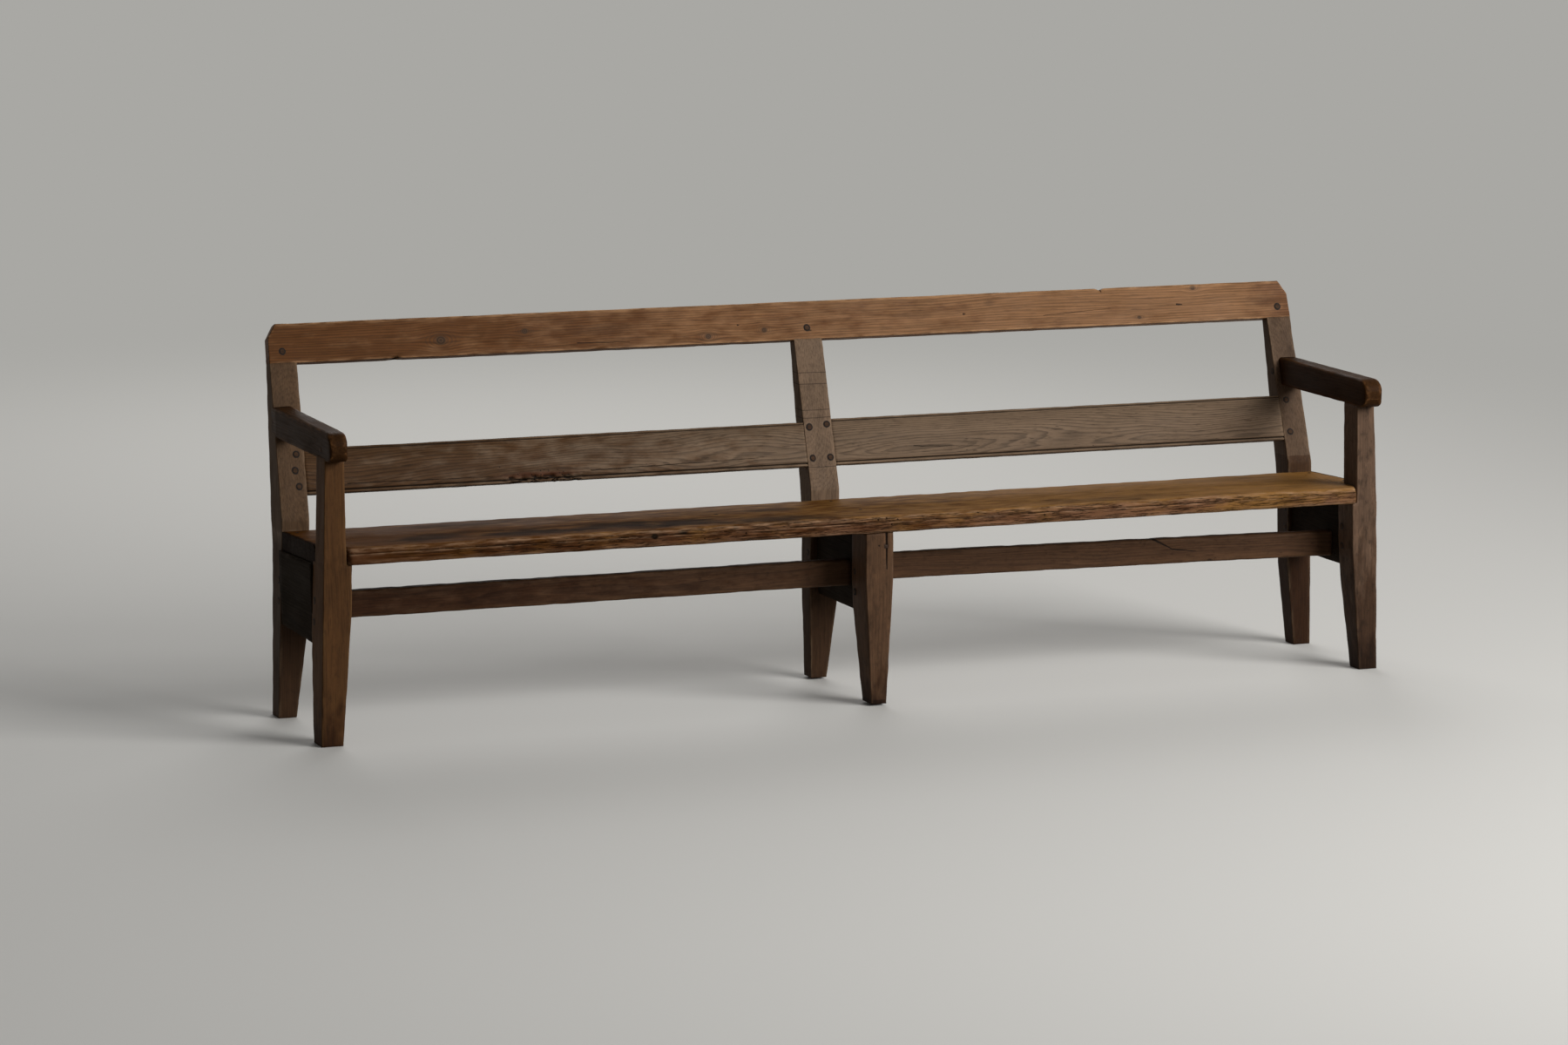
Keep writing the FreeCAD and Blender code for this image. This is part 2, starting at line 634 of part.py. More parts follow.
def stretcher(side):
    """A stout rail that ties an end cross board to the middle one."""
    name = f"{side}_stretcher"
    place = moved("0", f"{FRONT}+stretcher_setback", "0")
    body = new_body(name + "_body", place)
    ends = {"left": ("-length_floor/2", "middle_offset"), "right": ("middle_offset", "length_floor/2")}
    near, far = ends[side]
    start, rise = f"{side}_stretcher_bottom", f"{side}_stretcher_rise"
    front_pad(body, [
        (near, start),
        (far, f"{start}+{rise}"),
        (far, f"{start}+{rise}+stretcher_height"),
        (near, f"{start}+stretcher_height"),
    ], "stretcher_thickness")
    rounded(body, "stretcher_arris", lambda b: b.YMax < 0.01 and b.XLength > size("length_floor") / 4)
    add(solids, name, body)
    inset, thickness = BOARD[side]
    waste = "(length_floor/4)"
    shoulder = f"({inset}+{thickness}+shoulder_gap)"
    end_width = f"{waste}+{shoulder}"
    end_waste = block(name + "_end_waste", FRAME[side], (low_x(side, f"-{waste}", end_width), "0", "0"),
                      (end_width, "frame_depth", "seat_front_under"))
    middle_low = {"left": "-(middle_board_thickness/2+shoulder_gap)",
                  "right": f"middle_board_thickness/2+shoulder_gap-{waste}"}[side]
    middle_waste = block(name + "_middle_waste", FRAME["middle"], (middle_low, "0", "0"),
                         (waste, "frame_depth", "seat_front_under"))
    blank = doc.addObject("Part::Cut", name + "_bar")
    blank.Base = body
    blank.Tool = fused(name + "_wastes", [end_waste, middle_waste])
    solids[name] = [blank]
    y = "(stretcher_thickness-stretcher_tenon_thickness)/2"
    end_level = {"left": start, "right": f"({start}+{rise})"}[side]
    middle_level = {"left": f"({start}+{rise})", "right": start}[side]
    sign = {"left": "+", "right": "-"}[side]
    face = f"{outer_x(side, end_level)}{sign}({inset}+{thickness})"
    end_x = {"left": f"{face}-stretcher_tenon_length", "right": f"{face}-tenon_root"}[side]
    middle_x = {"left": "middle_offset-middle_board_thickness/2-tenon_root",
                "right": "middle_offset+middle_board_thickness/2-stretcher_stub_length"}[side]
    joints = ((f"{side}_cross_board", end_x, end_level, "stretcher_tenon_length+tenon_root"),
              ("middle_cross_board", middle_x, middle_level, "stretcher_stub_length+tenon_root"))
    for target, x, level, length in joints:
        tenon, mortise = joint(f"{name}_{target}", place, (x, y, f"{level}+stretcher_tenon_rise"),
                               (length, "stretcher_tenon_thickness", "stretcher_tenon_height"))
        add(solids, name, tenon)
        add(cuts, target, mortise)


def top_rail():
    """The long board on top of the posts, its two top corners cut off."""
    name = "top_rail"
    body = new_body(name + "_body", TOP)
    half = "(length_floor/2-tan(end_splay)*(rail_height+({})*cos(back_rake)))"
    corner = "top_rail_width-top_rail_corner_drop"
    front_pad(body, [
        ("-" + half.format("0"), "0"),
        (half.format("0"), "0"),
        (half.format(corner), corner),
        (half.format("top_rail_width") + "-top_rail_corner_run", "top_rail_width"),
        ("-" + half.format("top_rail_width") + "+top_rail_corner_run", "top_rail_width"),
        ("-" + half.format(corner), corner),
    ], "top_rail_thickness")
    width = size("top_rail_width")
    rounded(body, "top_rail_arris", lambda b: b.YLength < 0.01 and b.ZMin > width / 2)
    add(solids, name, body)
    pegs = []
    for side in SIDES:
        x = "middle_offset"
        if side != "middle":
            sign = {"left": "+", "right": "-"}[side]
            x = f"{outer_x(side, 'rail_height')}{sign}{side}_post_width/2"
        piece, hole = peg(f"top_peg_{side}", TOP, (x, "0", "top_peg_rise"), "front", "peg_radius",
                          "top_rail_thickness+proud")
        pegs.append(piece)
        add(cuts, name, hole)
        add(cuts, f"{side}_back_post", hole)
    group("top_rail_pegs", pegs)


def back_rail(side):
    """A thin beaded rail let in between an end post and the middle one."""
    name = f"{side}_back_rail"
    width = f"{side}_back_rail_width"
    body = new_body(name + "_body", BACK)
    low, high = "back_rail_start", f"(back_rail_start+{width})"
    front, back = "back_rail_setback", "back_rail_setback+back_rail_thickness"
    near = {"left": "-length_floor/2", "right": "middle_offset"}[side]
    reach = {"left": "length_floor/2+middle_offset", "right": "length_floor/2-middle_offset"}[side]
    side_pad(body, [
        (back, low),
        (back, high),
        (front, high),
        (front, f"{high}-bead_width"),
        (f"{front}+bead_groove_depth", f"{high}-bead_width-bead_groove_width/2"),
        (front, f"{high}-bead_width-bead_groove_width"),
        (front, f"{low}+foot_bead_width+foot_groove_width"),
        (f"{front}+foot_groove_depth", f"{low}+foot_bead_width+foot_groove_width/2"),
        (front, f"{low}+foot_bead_width"),
        (front, low),
    ], near, reach)
    post = f"{side}_post_width"
    waste = "(length_floor/4)"
    end_waste = block(name + "_end_waste", FRAME[side],
                      (low_x(side, f"-{waste}", f"{waste}+{post}+shoulder_gap"), "0", "0"),
                      (f"{waste}+{post}+shoulder_gap", "2*frame_depth", "2*kink_height"))
    middle_low = {"left": "-(middle_post_width/2+shoulder_gap)",
                  "right": f"middle_post_width/2+shoulder_gap-{waste}"}[side]
    middle_waste = block(name + "_middle_waste", FRAME["middle"], (middle_low, "0", "0"),
                         (waste, "2*frame_depth", "2*kink_height"))
    bar = doc.addObject("Part::Cut", name + "_bar")
    bar.Base = body
    bar.Tool = fused(name + "_wastes", [end_waste, middle_waste])
    add(solids, name, bar)
    sign = {"left": "+", "right": "-"}[side]
    face = f"{outer_x(side, 'kink_height')}{sign}{post}"
    end_x = {"left": f"{face}-back_tenon_length", "right": f"{face}-tenon_root"}[side]
    middle_x = {"left": "middle_offset-middle_post_width/2-tenon_root",
                "right": "middle_offset+middle_post_width/2-back_stub_length"}[side]
    y = f"{front}+(back_rail_thickness-back_tenon_thickness)/2"
    for target, x, length in ((f"{side}_back_post", end_x, "back_tenon_length+tenon_root"),
                              ("middle_back_post", middle_x, "back_stub_length+tenon_root")):
        tenon, mortise = joint(f"{name}_{target}", BACK, (x, y, f"{low}+back_tenon_haunch"),
                               (length, "back_tenon_thickness", f"{width}-2*back_tenon_haunch"))
        add(solids, name, tenon)
        add(cuts, target, mortise)


def post_pegs():
    """The pegs that hold the back rails' tenons, driven in from the posts' front faces."""
    levels = {}
    for side in ENDS:
        levels[side] = ("back_rail_start+back_peg_rise",
                        f"back_rail_start+{side}_back_rail_width-back_peg_drop")
    places = {"left": [], "middle": [], "right": []}
    for side in ENDS:
        sign = {"left": "+", "right": "-"}[side]
        inner = f"{outer_x(side, 'kink_height+back_rail_start')}{sign}({side}_post_width-back_peg_inset)"
        beside = {"left": "middle_offset-middle_post_width/2+middle_peg_inset",
                  "right": "middle_offset+middle_post_width/2-middle_peg_inset"}[side]
        for level in levels[side]:
            places[side].append((side, inner, level))
            places["middle"].append((side, beside, level))
    low, high = levels["left"]
    third = f"{outer_x('left', 'kink_height+back_rail_start')}+left_post_width-back_peg_inset-third_peg_shift"
    places["left"].append(("left", third, f"({low}+{high})/2"))
    for side, wanted in places.items():
        pegs = []
        for number, (rail, x, level) in enumerate(wanted, 1):
            piece, hole = peg(f"{side}_post_peg_{number}", BACK, (x, "0", level), "front", "peg_radius",
                              "post_peg_length")
            pegs.append(piece)
            add(cuts, f"{side}_back_post", hole)
            add(cuts, f"{rail}_back_rail", hole)
        group(f"{side}_post_pegs", pegs)


def middle_leg_nail():
    """The later nail driven into the split middle leg, beside an empty hole."""
    level = "seat_front_under-leg_nail_drop"
    frame = FRAME["middle"]
    piece, hole = nail("middle_leg_nail", frame, ("leg_nail_offset", "0", level), "front", "leg_nail_length")
    parts["middle_leg_nail"] = piece
    empty = square_pin("empty_nail_hole", driven(frame, ("nail_hole_offset", "0", level), "front"),
                       "nail_hole_width", "nail_hole_depth", "cut_margin")
    add(cuts, "middle_front_leg", hole, empty)


for side in SIDES:
    back_post(side)
    front_leg(side)
    cross_board(side)
for side in ENDS:
    arm(side)
    stretcher(side)
    back_rail(side)
seat_plank()
top_rail()
post_pegs()
middle_leg_nail()
for name, pieces in solids.items():
    finished(name, pieces, cuts.get(name, []))
doc.recompute()

for item in doc.Objects:
    if "Invalid" in item.State or "Error" in item.State:
        raise RuntimeError(f"{item.Name} did not compute: {item.State}")
os.makedirs("parts", exist_ok=True)
for name, item in sorted(parts.items()):
    item.Label = name
    shape = item.Shape
    if shape.isNull() or not shape.isValid():
        raise RuntimeError(f"{name} has no valid shape")
    shape.exportStep(f"parts/{name}.step")
    box = shape.BoundBox
    print(f"{name:20s} solids {len(shape.Solids)}  volume {shape.Volume / 1000:9.1f} cm3  "
          f"x {box.XMin:7.1f} {box.XMax:7.1f}  y {box.YMin:6.1f} {box.YMax:6.1f}  "
          f"z {box.ZMin:6.1f} {box.ZMax:6.1f}")
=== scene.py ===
# %% [markdown]
# # An old long bench with arms
#
# The bench stands on three frames of pegged pine. A thick plank is its seat, a raked board
# with two cut corners is its head rail, and two beaded oak rails fill its back. This lesson
# dresses the exact CAD model of the bench as worn, hand-planed wood.
#
# The CAD parts are sharp and flat, as a drawing is. Two hundred years of use have rounded
# every edge, so each timber is laid again here as a skin of rings, one ring for each slice
# through the CAD part. The rings follow the part, and the wear is then pressed into them.

# %% Load the frame
import math

import bmesh
import bpy
import numpy as np
from mathutils import Euler, Matrix, Vector, noise


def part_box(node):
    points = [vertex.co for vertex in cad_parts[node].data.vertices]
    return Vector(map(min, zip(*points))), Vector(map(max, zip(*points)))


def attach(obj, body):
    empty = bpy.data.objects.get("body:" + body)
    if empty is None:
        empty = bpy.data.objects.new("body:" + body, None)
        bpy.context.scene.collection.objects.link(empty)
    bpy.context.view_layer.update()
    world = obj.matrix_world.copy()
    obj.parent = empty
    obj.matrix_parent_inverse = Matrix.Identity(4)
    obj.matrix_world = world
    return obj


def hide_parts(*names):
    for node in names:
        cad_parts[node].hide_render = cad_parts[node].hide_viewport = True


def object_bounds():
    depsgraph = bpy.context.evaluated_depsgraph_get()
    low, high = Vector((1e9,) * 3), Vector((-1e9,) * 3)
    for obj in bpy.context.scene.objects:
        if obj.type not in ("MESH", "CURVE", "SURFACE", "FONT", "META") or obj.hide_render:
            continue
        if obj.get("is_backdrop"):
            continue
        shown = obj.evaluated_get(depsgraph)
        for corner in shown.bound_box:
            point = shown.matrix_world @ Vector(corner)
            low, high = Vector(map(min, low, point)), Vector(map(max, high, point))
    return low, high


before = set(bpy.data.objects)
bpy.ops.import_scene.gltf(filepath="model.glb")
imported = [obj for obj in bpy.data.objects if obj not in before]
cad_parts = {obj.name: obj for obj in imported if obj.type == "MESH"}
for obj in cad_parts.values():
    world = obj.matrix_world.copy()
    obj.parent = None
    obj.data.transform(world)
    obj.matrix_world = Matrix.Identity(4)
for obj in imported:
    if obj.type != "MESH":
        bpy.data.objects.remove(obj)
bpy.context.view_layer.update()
MM = 0.001

# %% [markdown]
# ## The camera
#
# The photograph was taken from some eleven metres away with a long lens, from the left of the
# bench and a little above its back. The numbers come from solving the camera on the corners of
# the bench. A camera in Blender looks down its own -Z, so it is first tipped up to the horizon
# and then down by the pitch, turned by the yaw and last rolled about its own axis.

# %% Camera
LENS, SENSOR = 114.37, 36                            # mm
CAMERA_PLACE = Vector((-4.3685, -10.7197, 2.2782))   # m
YAW, PITCH, ROLL = 21.59, -9.23, 0.17                # degrees

camera_data = bpy.data.cameras.new("camera")
camera_data.lens = LENS
camera_data.sensor_width = SENSOR
camera = bpy.data.objects.new("camera", camera_data)
bpy.context.scene.collection.objects.link(camera)
turn = Euler((math.radians(90 + PITCH), 0, math.radians(-YAW))).to_matrix().to_4x4()
camera.matrix_world = Matrix.Translation(CAMERA_PLACE) @ turn @ Matrix.Rotation(math.radians(ROLL), 4, "Z")
bpy.context.scene.camera = camera
bpy.context.scene.view_settings.view_transform = "Standard"
print("camera at", tuple(camera.location), "lens", LENS)

# %% [markdown]
# ## Slices through a CAD part
#
# To lay a timber again, its outline must be known at any place along it. A plane that cuts the
# part's triangles gives points, and the box round those points is the section: mortises and
# peg holes lie inside it, so they don't disturb it. Each part has its own three directions,
# along its length and across it both ways, because the back and its rails lean.

# %% Slicing
def slicer(name, axes):
    """A function that gives the box of a CAD part's section, in mm, at a place along axes[0]."""
    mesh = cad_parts[name].data
    points = np.empty(len(mesh.vertices) * 3, np.float32)
    mesh.vertices.foreach_get("co", points)
    points = points.reshape(-1, 3).astype(float) / MM @ np.array(axes).T
    pairs = np.empty(len(mesh.edges) * 2, np.int32)
    mesh.edges.foreach_get("vertices", pairs)
    start, end = points[pairs.reshape(-1, 2)[:, 0]], points[pairs.reshape(-1, 2)[:, 1]]

    def section(place):
        low, high = np.minimum(start[:, 0], end[:, 0]), np.maximum(start[:, 0], end[:, 0])
        cut = (low <= place) & (high >= place) & (high - low > 1e-6)
        share = (place - start[cut, 0]) / (end[cut, 0] - start[cut, 0])
        hits = (start[cut] + (end[cut] - start[cut]) * share[:, None])[:, 1:]
        return np.concatenate([hits.min(0), hits.max(0)])

    return section


def slope(section, start, end, value):
    """The angle at which one side of a section moves between two places."""
    return math.atan2(section(end)[value] - section(start)[value], abs(end - start))


# %% The directions of the timbers
UPRIGHT = ((0, 0, 1), (1, 0, 0), (0, 1, 0))
ALONG = ((1, 0, 0), (0, 1, 0), (0, 0, 1))
DEEPWAYS = ((0, 1, 0), (1, 0, 0), (0, 0, 1))
ABOVE_KINK, UNDER_RAIL = 500, 780      # heights on a back post, mm
LOW_DOWN, BELOW_SEAT = 230, 380
FRONT, BACK = -100, 100                # depths on a cross board, mm

RAKE = slope(slicer("left_back_post", UPRIGHT), ABOVE_KINK, UNDER_RAIL, 1)
SPLAY = slope(slicer("left_back_post", UPRIGHT), LOW_DOWN, BELOW_SEAT, 0)
SEAT_TILT = slope(slicer("middle_cross_board", DEEPWAYS), BACK, FRONT, 3)


def leaning(angle):
    """Along X, with the two cross directions tipped back by an angle."""
    return ((1, 0, 0), (0, math.cos(angle), -math.sin(angle)), (0, math.sin(angle), math.cos(angle)))


def across(angle):
    """Along Y, with the two cross directions tipped sideways by an angle."""
    return ((0, 1, 0), (math.cos(angle), 0, -math.sin(angle)), (math.sin(angle), 0, math.cos(angle)))


RAKED = leaning(RAKE)
SLOPED = leaning(SEAT_TILT)
print("back leans", round(math.degrees(RAKE), 2), "ends lean", round(math.degrees(SPLAY), 2),
      "seat falls", round(math.degrees(SEAT_TILT), 2), "degrees")

# %% [markdown]
# ## A profile that stretches
#
# Each point of a ring is kept as a share of the section's box plus a distance in mm. A corner
# keeps its radius while the timber tapers, and a bead keeps its width. Every point also knows
# which way is out, and how near an edge it is, because edges wear most. On a corner, the middle
# of the round is the edge; on a bold round like the seat's nose, the rest of it wears less.

# %% Profiles
ARC_STEPS = 4
CRACK_HALF = 1.5                  # mm, half the width of a crack
CRACK_CLEAR = 1.3 * CRACK_HALF    # mm beside it that no other point may take
EDGE_FADE = 7                     # mm in which an edge's wear dies away on a flat side
BOLD_ROUND = 12                   # mm, the radius from which a corner's sides wear less


def flat(start, end, length, spacing, cracks=()):
    """Points on a straight side, without its ends. start and end are the corner radii."""
    run = length - start - end
    count = max(2, round(run / spacing))
    shares = [(i / count, 0) for i in range(1, count)]
    for place in cracks:
        share = (place - start) / run
        shares = [s for s in shares if abs(s[0] - share) * length > CRACK_CLEAR]
        shares += [(share - CRACK_HALF / length, 0), (share, 1), (share + CRACK_HALF / length, 0)]
    return [(share, start * (1 - share) - end * share,
             math.exp(-min(share, 1 - share) * run / EDGE_FADE), crack) for share, crack in sorted(shares)]


def rectangle(width, height, radii, spacing=8, cracks=None):
    """Rows of share_a, mm_a, share_b, mm_b, out_a, out_b, edge, crack, all round a rectangle.

    radii are those of the corners (low a, low b), (high a, low b), (high a, high b), (low a, high b).
    cracks holds, for a side numbered from the low b side, how far along it each crack runs.
    """
    corners = [(0, 0), (1, 0), (1, 1), (0, 1)]
    # Of each side: its axis, the way it runs, its length, its share across, and which way is out.
    sides = [(0, 1, width, 0, (0, -1)), (1, 1, height, 1, (1, 0)),
             (0, -1, width, 1, (0, 1)), (1, -1, height, 0, (-1, 0))]
    rows = []
    for number, (axis, way, length, fixed, out) in enumerate(sides):
        radius, ahead = radii[number], radii[(number + 1) % 4]
        for step in range(ARC_STEPS + 1):
            angle = math.radians(180 + 90 * number) + math.radians(90) * step / ARC_STEPS
            turned = (math.cos(angle), math.sin(angle))
            point = []
            for share, o in zip(corners[number], turned):
                point += [share, radius * (1 if share == 0 else -1) + radius * o]
            off_middle = abs(step / ARC_STEPS - 0.5) * min(1, radius / BOLD_ROUND)
            rows.append((*point, *turned, 1 - off_middle, 0))
        for share, mm, edge, crack in flat(radius, ahead, length, spacing, (cracks or {}).get(number, ())):
            if way < 0:
                share, mm = 1 - share, -mm
            point = (share, mm, fixed, 0) if axis == 0 else (fixed, 0, share, mm)
            rows.append((*point, *out, edge, crack))
    return np.array(rows, float)


print("a profile of 60 by 40 mm has", len(rectangle(60, 40, (3,) * 4)), "points")

# %% [markdown]
# ## Wear
#
# Hand planes leave long shallow waves, and use takes the edges off in short runs: a chip here,
# a dent there. Smooth noise gives both. It is stretched along the timber for the waves and left
# round for the chips, and it only ever takes wood away, so nothing leaves the CAD's box.

# %% Wear
WAVE_GRAIN, RIPPLE_GRAIN = (240, 70, 70), (45, 16, 16)    # mm along and across the timber
CHIP_GRAIN, DIP_GRAIN = (38, 14, 14), (150, 60, 60)


def rough(points, size):
    """Smooth noise from -1 to 1 at points in mm; size gives its grain along each direction."""
    scaled = points / np.array(size, float)
    return np.fromiter((noise.noise(Vector(p)) for p in scaled), float, len(scaled))


def worn(points, edge, wave, chip):
    """How much wood is gone at each point, in mm. Each noise is read at a shifted place."""
    waves = 0.5 + 0.5 * rough(points, WAVE_GRAIN)
    ripples = 0.5 + 0.5 * rough(points + 500, RIPPLE_GRAIN)
    chips = np.clip(rough(points + 900, CHIP_GRAIN) + 0.1, 0, 1)
    dips = np.clip(rough(points + 300, DIP_GRAIN), 0, 1)
    return wave * (waves + 0.35 * ripples) + edge ** 2 * chip * (chips + 0.8 * dips)


print("wood gone from a sharp edge at the origin, mm:", worn(np.zeros((1, 3)), np.ones(1), 0.5, 1.5).round(2))

# %% [markdown]
# ## Laying a timber
#
# The rings are joined into a closed skin. Where an end shows, its rim is rounded too: three
# rings draw in round a quarter circle before the end is closed. The skin is one mesh with its
# place in its vertices, so the object itself stays at the origin as the CAD parts do.
#
# Two values go with each point of the skin, for the wood's colours: "edge" says how much it is
# rubbed, which makes it pale: wear, and also a painted highlight on rounded edges. "hollow" says
# where it lies deep in a crack, a groove or a bite, which is painted dark: painted shade, with
# the dirt that lies there.

# %% Timber
END_ANGLES = (90, 60, 30)
END_EDGE = 0.35           # how much the rim of an end counts as an edge
# A hollow is painted darker the deeper it lies: painted shade, with the dirt that lies there.
CRACK_DARK = 1.5          # mm of depth at which a crack is fully dark
DARK_FROM, DARK_OVER = 3.2, 2   # mm: where carved wood starts to be dark, and over how much


def rounded_end(section, radius, way):
    """Sections that draw in to an end, each with how far, in mm."""
    rings = []
    for angle in END_ANGLES if radius else ():
        ring = section.copy()
        ring[0] += way * radius * (1 - math.sin(math.radians(angle)))
        rings.append((ring, radius * (1 - math.cos(math.radians(angle)))))
    return rings


def skin_mesh(name, points, count, size):
    """A closed mesh of count rings with size points each, its normals pointing out."""
    faces = [(r * size + i, r * size + (i + 1) % size, (r + 1) * size + (i + 1) % size, (r + 1) * size + i)
             for r in range(count - 1) for i in range(size)]
    faces += [tuple(range(size)), tuple((count - 1) * size + i for i in range(size))]
    mesh = bpy.data.meshes.new(name)
    mesh.from_pydata(points.tolist(), [], faces)
    mesh.polygons.foreach_set("use_smooth", [True] * (len(faces) - 2) + [False] * 2)
    return mesh


def timber(name, axes, sections, profile, wave=0.5, chip=2.0, round_ends=(0, 0), carve=None,
           crack_depth=None):
    """Skin the sections, rows of place, a0, b0, a1, b1 in mm along axes[0], with a profile."""
    sections = np.array(sections, float)
    first, last = sections[0], sections[-1]
    middle = [(s, 0.0) for s in sections
              if first[0] + round_ends[0] <= s[0] <= last[0] - round_ends[1]]
    rings = rounded_end(first, round_ends[0], 1) + middle + rounded_end(last, round_ends[1], -1)[::-1]
    shares, mms, outs = profile[:, [0, 2]], profile[:, [1, 3]], profile[:, 4:6]
    widest = 2.05 * np.abs(mms).max(0)
    count, size = len(rings), len(profile)
    local = []
    for section, inset in rings:
        low, high = section[1:3], section[3:5]
        room = np.minimum(1, (high - low) / widest)
        ring = low + shares * (high - low) + mms * room - outs * inset
        local.append(np.column_stack([np.full(size, section[0]), ring]))
    local = np.concatenate(local)
    near_end = np.repeat([inset > 0 for _, inset in rings], size)
    edge = np.where(near_end, END_EDGE, np.tile(profile[:, 6], count))
    # Cracks and deep carving are painted dark: painted shade, with dirt.
    hollow = crack = np.tile(profile[:, 7], count)
    depth = worn(local, edge, wave, chip)
    if crack_depth:
        split = crack * crack_depth(local)
        depth, hollow = depth + split, np.clip(split / CRACK_DARK, 0, 1)
    if carve:
        carved = carve(local)
        dark = np.clip((carved - DARK_FROM) / DARK_OVER, 0, 1)
        depth, hollow = depth + carved, np.maximum(hollow, dark)
    local[:, 1:] -= np.tile(outs, (count, 1)) * depth[:, None]
    mesh = skin_mesh(name, local @ np.array(axes) * MM, count, size)
    for key, values in (("edge", edge), ("hollow", hollow)):
        mesh.attributes.new(key, "FLOAT", "POINT").data.foreach_set("value", values.astype(np.float32))
    form = bmesh.new()
    form.from_mesh(mesh)
    bmesh.ops.recalc_face_normals(form, faces=form.faces)
    form.to_mesh(mesh)
    form.free()
    piece = bpy.data.objects.new(name, mesh)
    bpy.context.scene.collection.objects.link(piece)
    print(f"{name}: {count} rings of {size} points")
    return piece


# %% Helpers for the sections
CLEAR = 2     # mm, so that a rail's last free slice stays off its neighbour
SIDES = ("left", "middle", "right")
BAYS = (("left", "left", "middle"), ("right", "middle", "right"))


def spaced(low, high, step):
    """Places at about a step in mm from each other, both ends included."""
    return np.linspace(low, high, max(2, round((high - low) / step) + 1))


def sampled(section, places, extra=0.0):
    """Rows for timber(); the first and last are drawn out by extra mm into the neighbours."""
    rows = [[place, *section(place)] for place in places]
    rows[0][0] -= extra
    rows[-1][0] += extra
    return rows


def size_of(cut):
    """Width and height of a section."""
    return cut[2] - cut[0], cut[3] - cut[1]


pieces = {}

# %% [markdown]
# ## The head rail
#
# One pine board joins the tops of the three posts. Its top edge is rounded by hands and backs,
# and its two top corners are cut off. It has two nicks: one in the bottom edge near the left
# end, and one in the top edge right of the middle. The cut corners need no special care: the
# slices get lower towards the ends, and the rings follow.

# %% Head rail
TOP_ROUND, RAIL_ARRIS = 5.0, 1.6
# Of each nick: its place, half width and depth in mm, and whether it is in the top edge.
NICKS = ((-1001, 9, 5.5, False), (797, 6, 6.5, True))
NICK_REACH = 10        # mm from the edge at which a nick has died away
RAIL_END = 30          # mm at each end where the slices stand closer


def nicked(points):
    """The nicks in the rail's edges."""
    gone = 0
    for place, half, deep, at_top in NICKS:
        heights = points[:, 2]
        near = heights.max() - heights if at_top else heights - heights.min()
        along = np.exp(-((points[:, 0] - place) / half) ** 2)
        gone = gone + deep * along * np.clip(1 - near / NICK_REACH, 0, 1)
    return gone


rail = slicer("top_rail", RAKED)
rail_start, rail_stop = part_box("top_rail")[0].x / MM + 0.4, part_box("top_rail")[1].x / MM - 0.4
middle_cut = rail(0)
places = np.concatenate([spaced(rail_start, rail_start + RAIL_END, 2.5),
                         spaced(rail_start + RAIL_END + 6, rail_stop - RAIL_END - 6, 6),
                         spaced(rail_stop - RAIL_END, rail_stop, 2.5)])
pieces["top_rail"] = timber(
    "head_rail", RAKED, sampled(rail, places),
    rectangle(*size_of(middle_cut), (RAIL_ARRIS, RAIL_ARRIS, TOP_ROUND, TOP_ROUND), 6),
    wave=0.45, chip=1.3, round_ends=(1.5, 1.5), carve=nicked)

# %% [markdown]
# ## The back posts
#
# Each post is sawn from one thick board: upright to the seat, then bent back, and thinned all
# the way up. Level slices follow the bend by themselves. The top of a post is cut square to
# its rake under the head rail, so the skin is made a little too long and then cut by a plane.

# %% Back posts
POST_ARRIS = 2.2
POST_TOP, AT_SEAT = 804, 430     # heights, mm


def trimmed(piece, place, normal):
    """Cut a piece off at a plane and close it; place and normal in metres."""
    form = bmesh.new()
    form.from_mesh(piece.data)
    everything = form.verts[:] + form.edges[:] + form.faces[:]
    cut = bmesh.ops.bisect_plane(form, geom=everything, plane_co=place, plane_no=normal, clear_outer=True)
    rim = [item for item in cut["geom_cut"] if isinstance(item, bmesh.types.BMEdge)]
    bmesh.ops.edgeloop_fill(form, edges=rim)
    form.to_mesh(piece.data)
    form.free()


up_the_back = Vector(RAKED[2])
rail_bottom = up_the_back * (middle_cut[1] + CLEAR) * MM
for side in SIDES:
    node = f"{side}_back_post"
    section = slicer(node, UPRIGHT)
    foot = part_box(node)[0].z / MM
    rows = sampled(section, spaced(foot + 0.3, POST_TOP - 12, 5))
    rate = (np.array(rows[-1]) - np.array(rows[-5])) / (rows[-1][0] - rows[-5][0])
    rows += [list(np.array(rows[-1]) + rate * reach) for reach in (8, 16, 24)]
    pieces[node] = timber(
        node + "_wood", UPRIGHT, rows, rectangle(*size_of(section(AT_SEAT)), (POST_ARRIS,) * 4, 6),
        wave=0.5, chip=1.4, round_ends=(1.2, 0))
    trimmed(pieces[node], rail_bottom, up_the_back)

# %% [markdown]
# ## The front legs
#
# An end leg has a shoulder under the seat, a neck through the seat's corner and a head under
# the arm. The middle leg stops at the seat. The shoulder slopes with the seat, so the rings
# run on a little way into the plank, where nobody sees the step from leg to neck.

# %% Front legs
LEG_ARRIS = 2.8
SEAT_UNDER, INTO_SEAT = 402, 7
CRACK_FROM_LEFT, CRACK_LOW, CRACK_DEEP = 50.5, 328, 5


def leg_crack(points):
    """The split in the middle leg: deepest at the top, gone at its lower end."""
    return np.clip((points[:, 0] - CRACK_LOW) / (SEAT_UNDER - CRACK_LOW), 0, 1) ** 0.5 * CRACK_DEEP


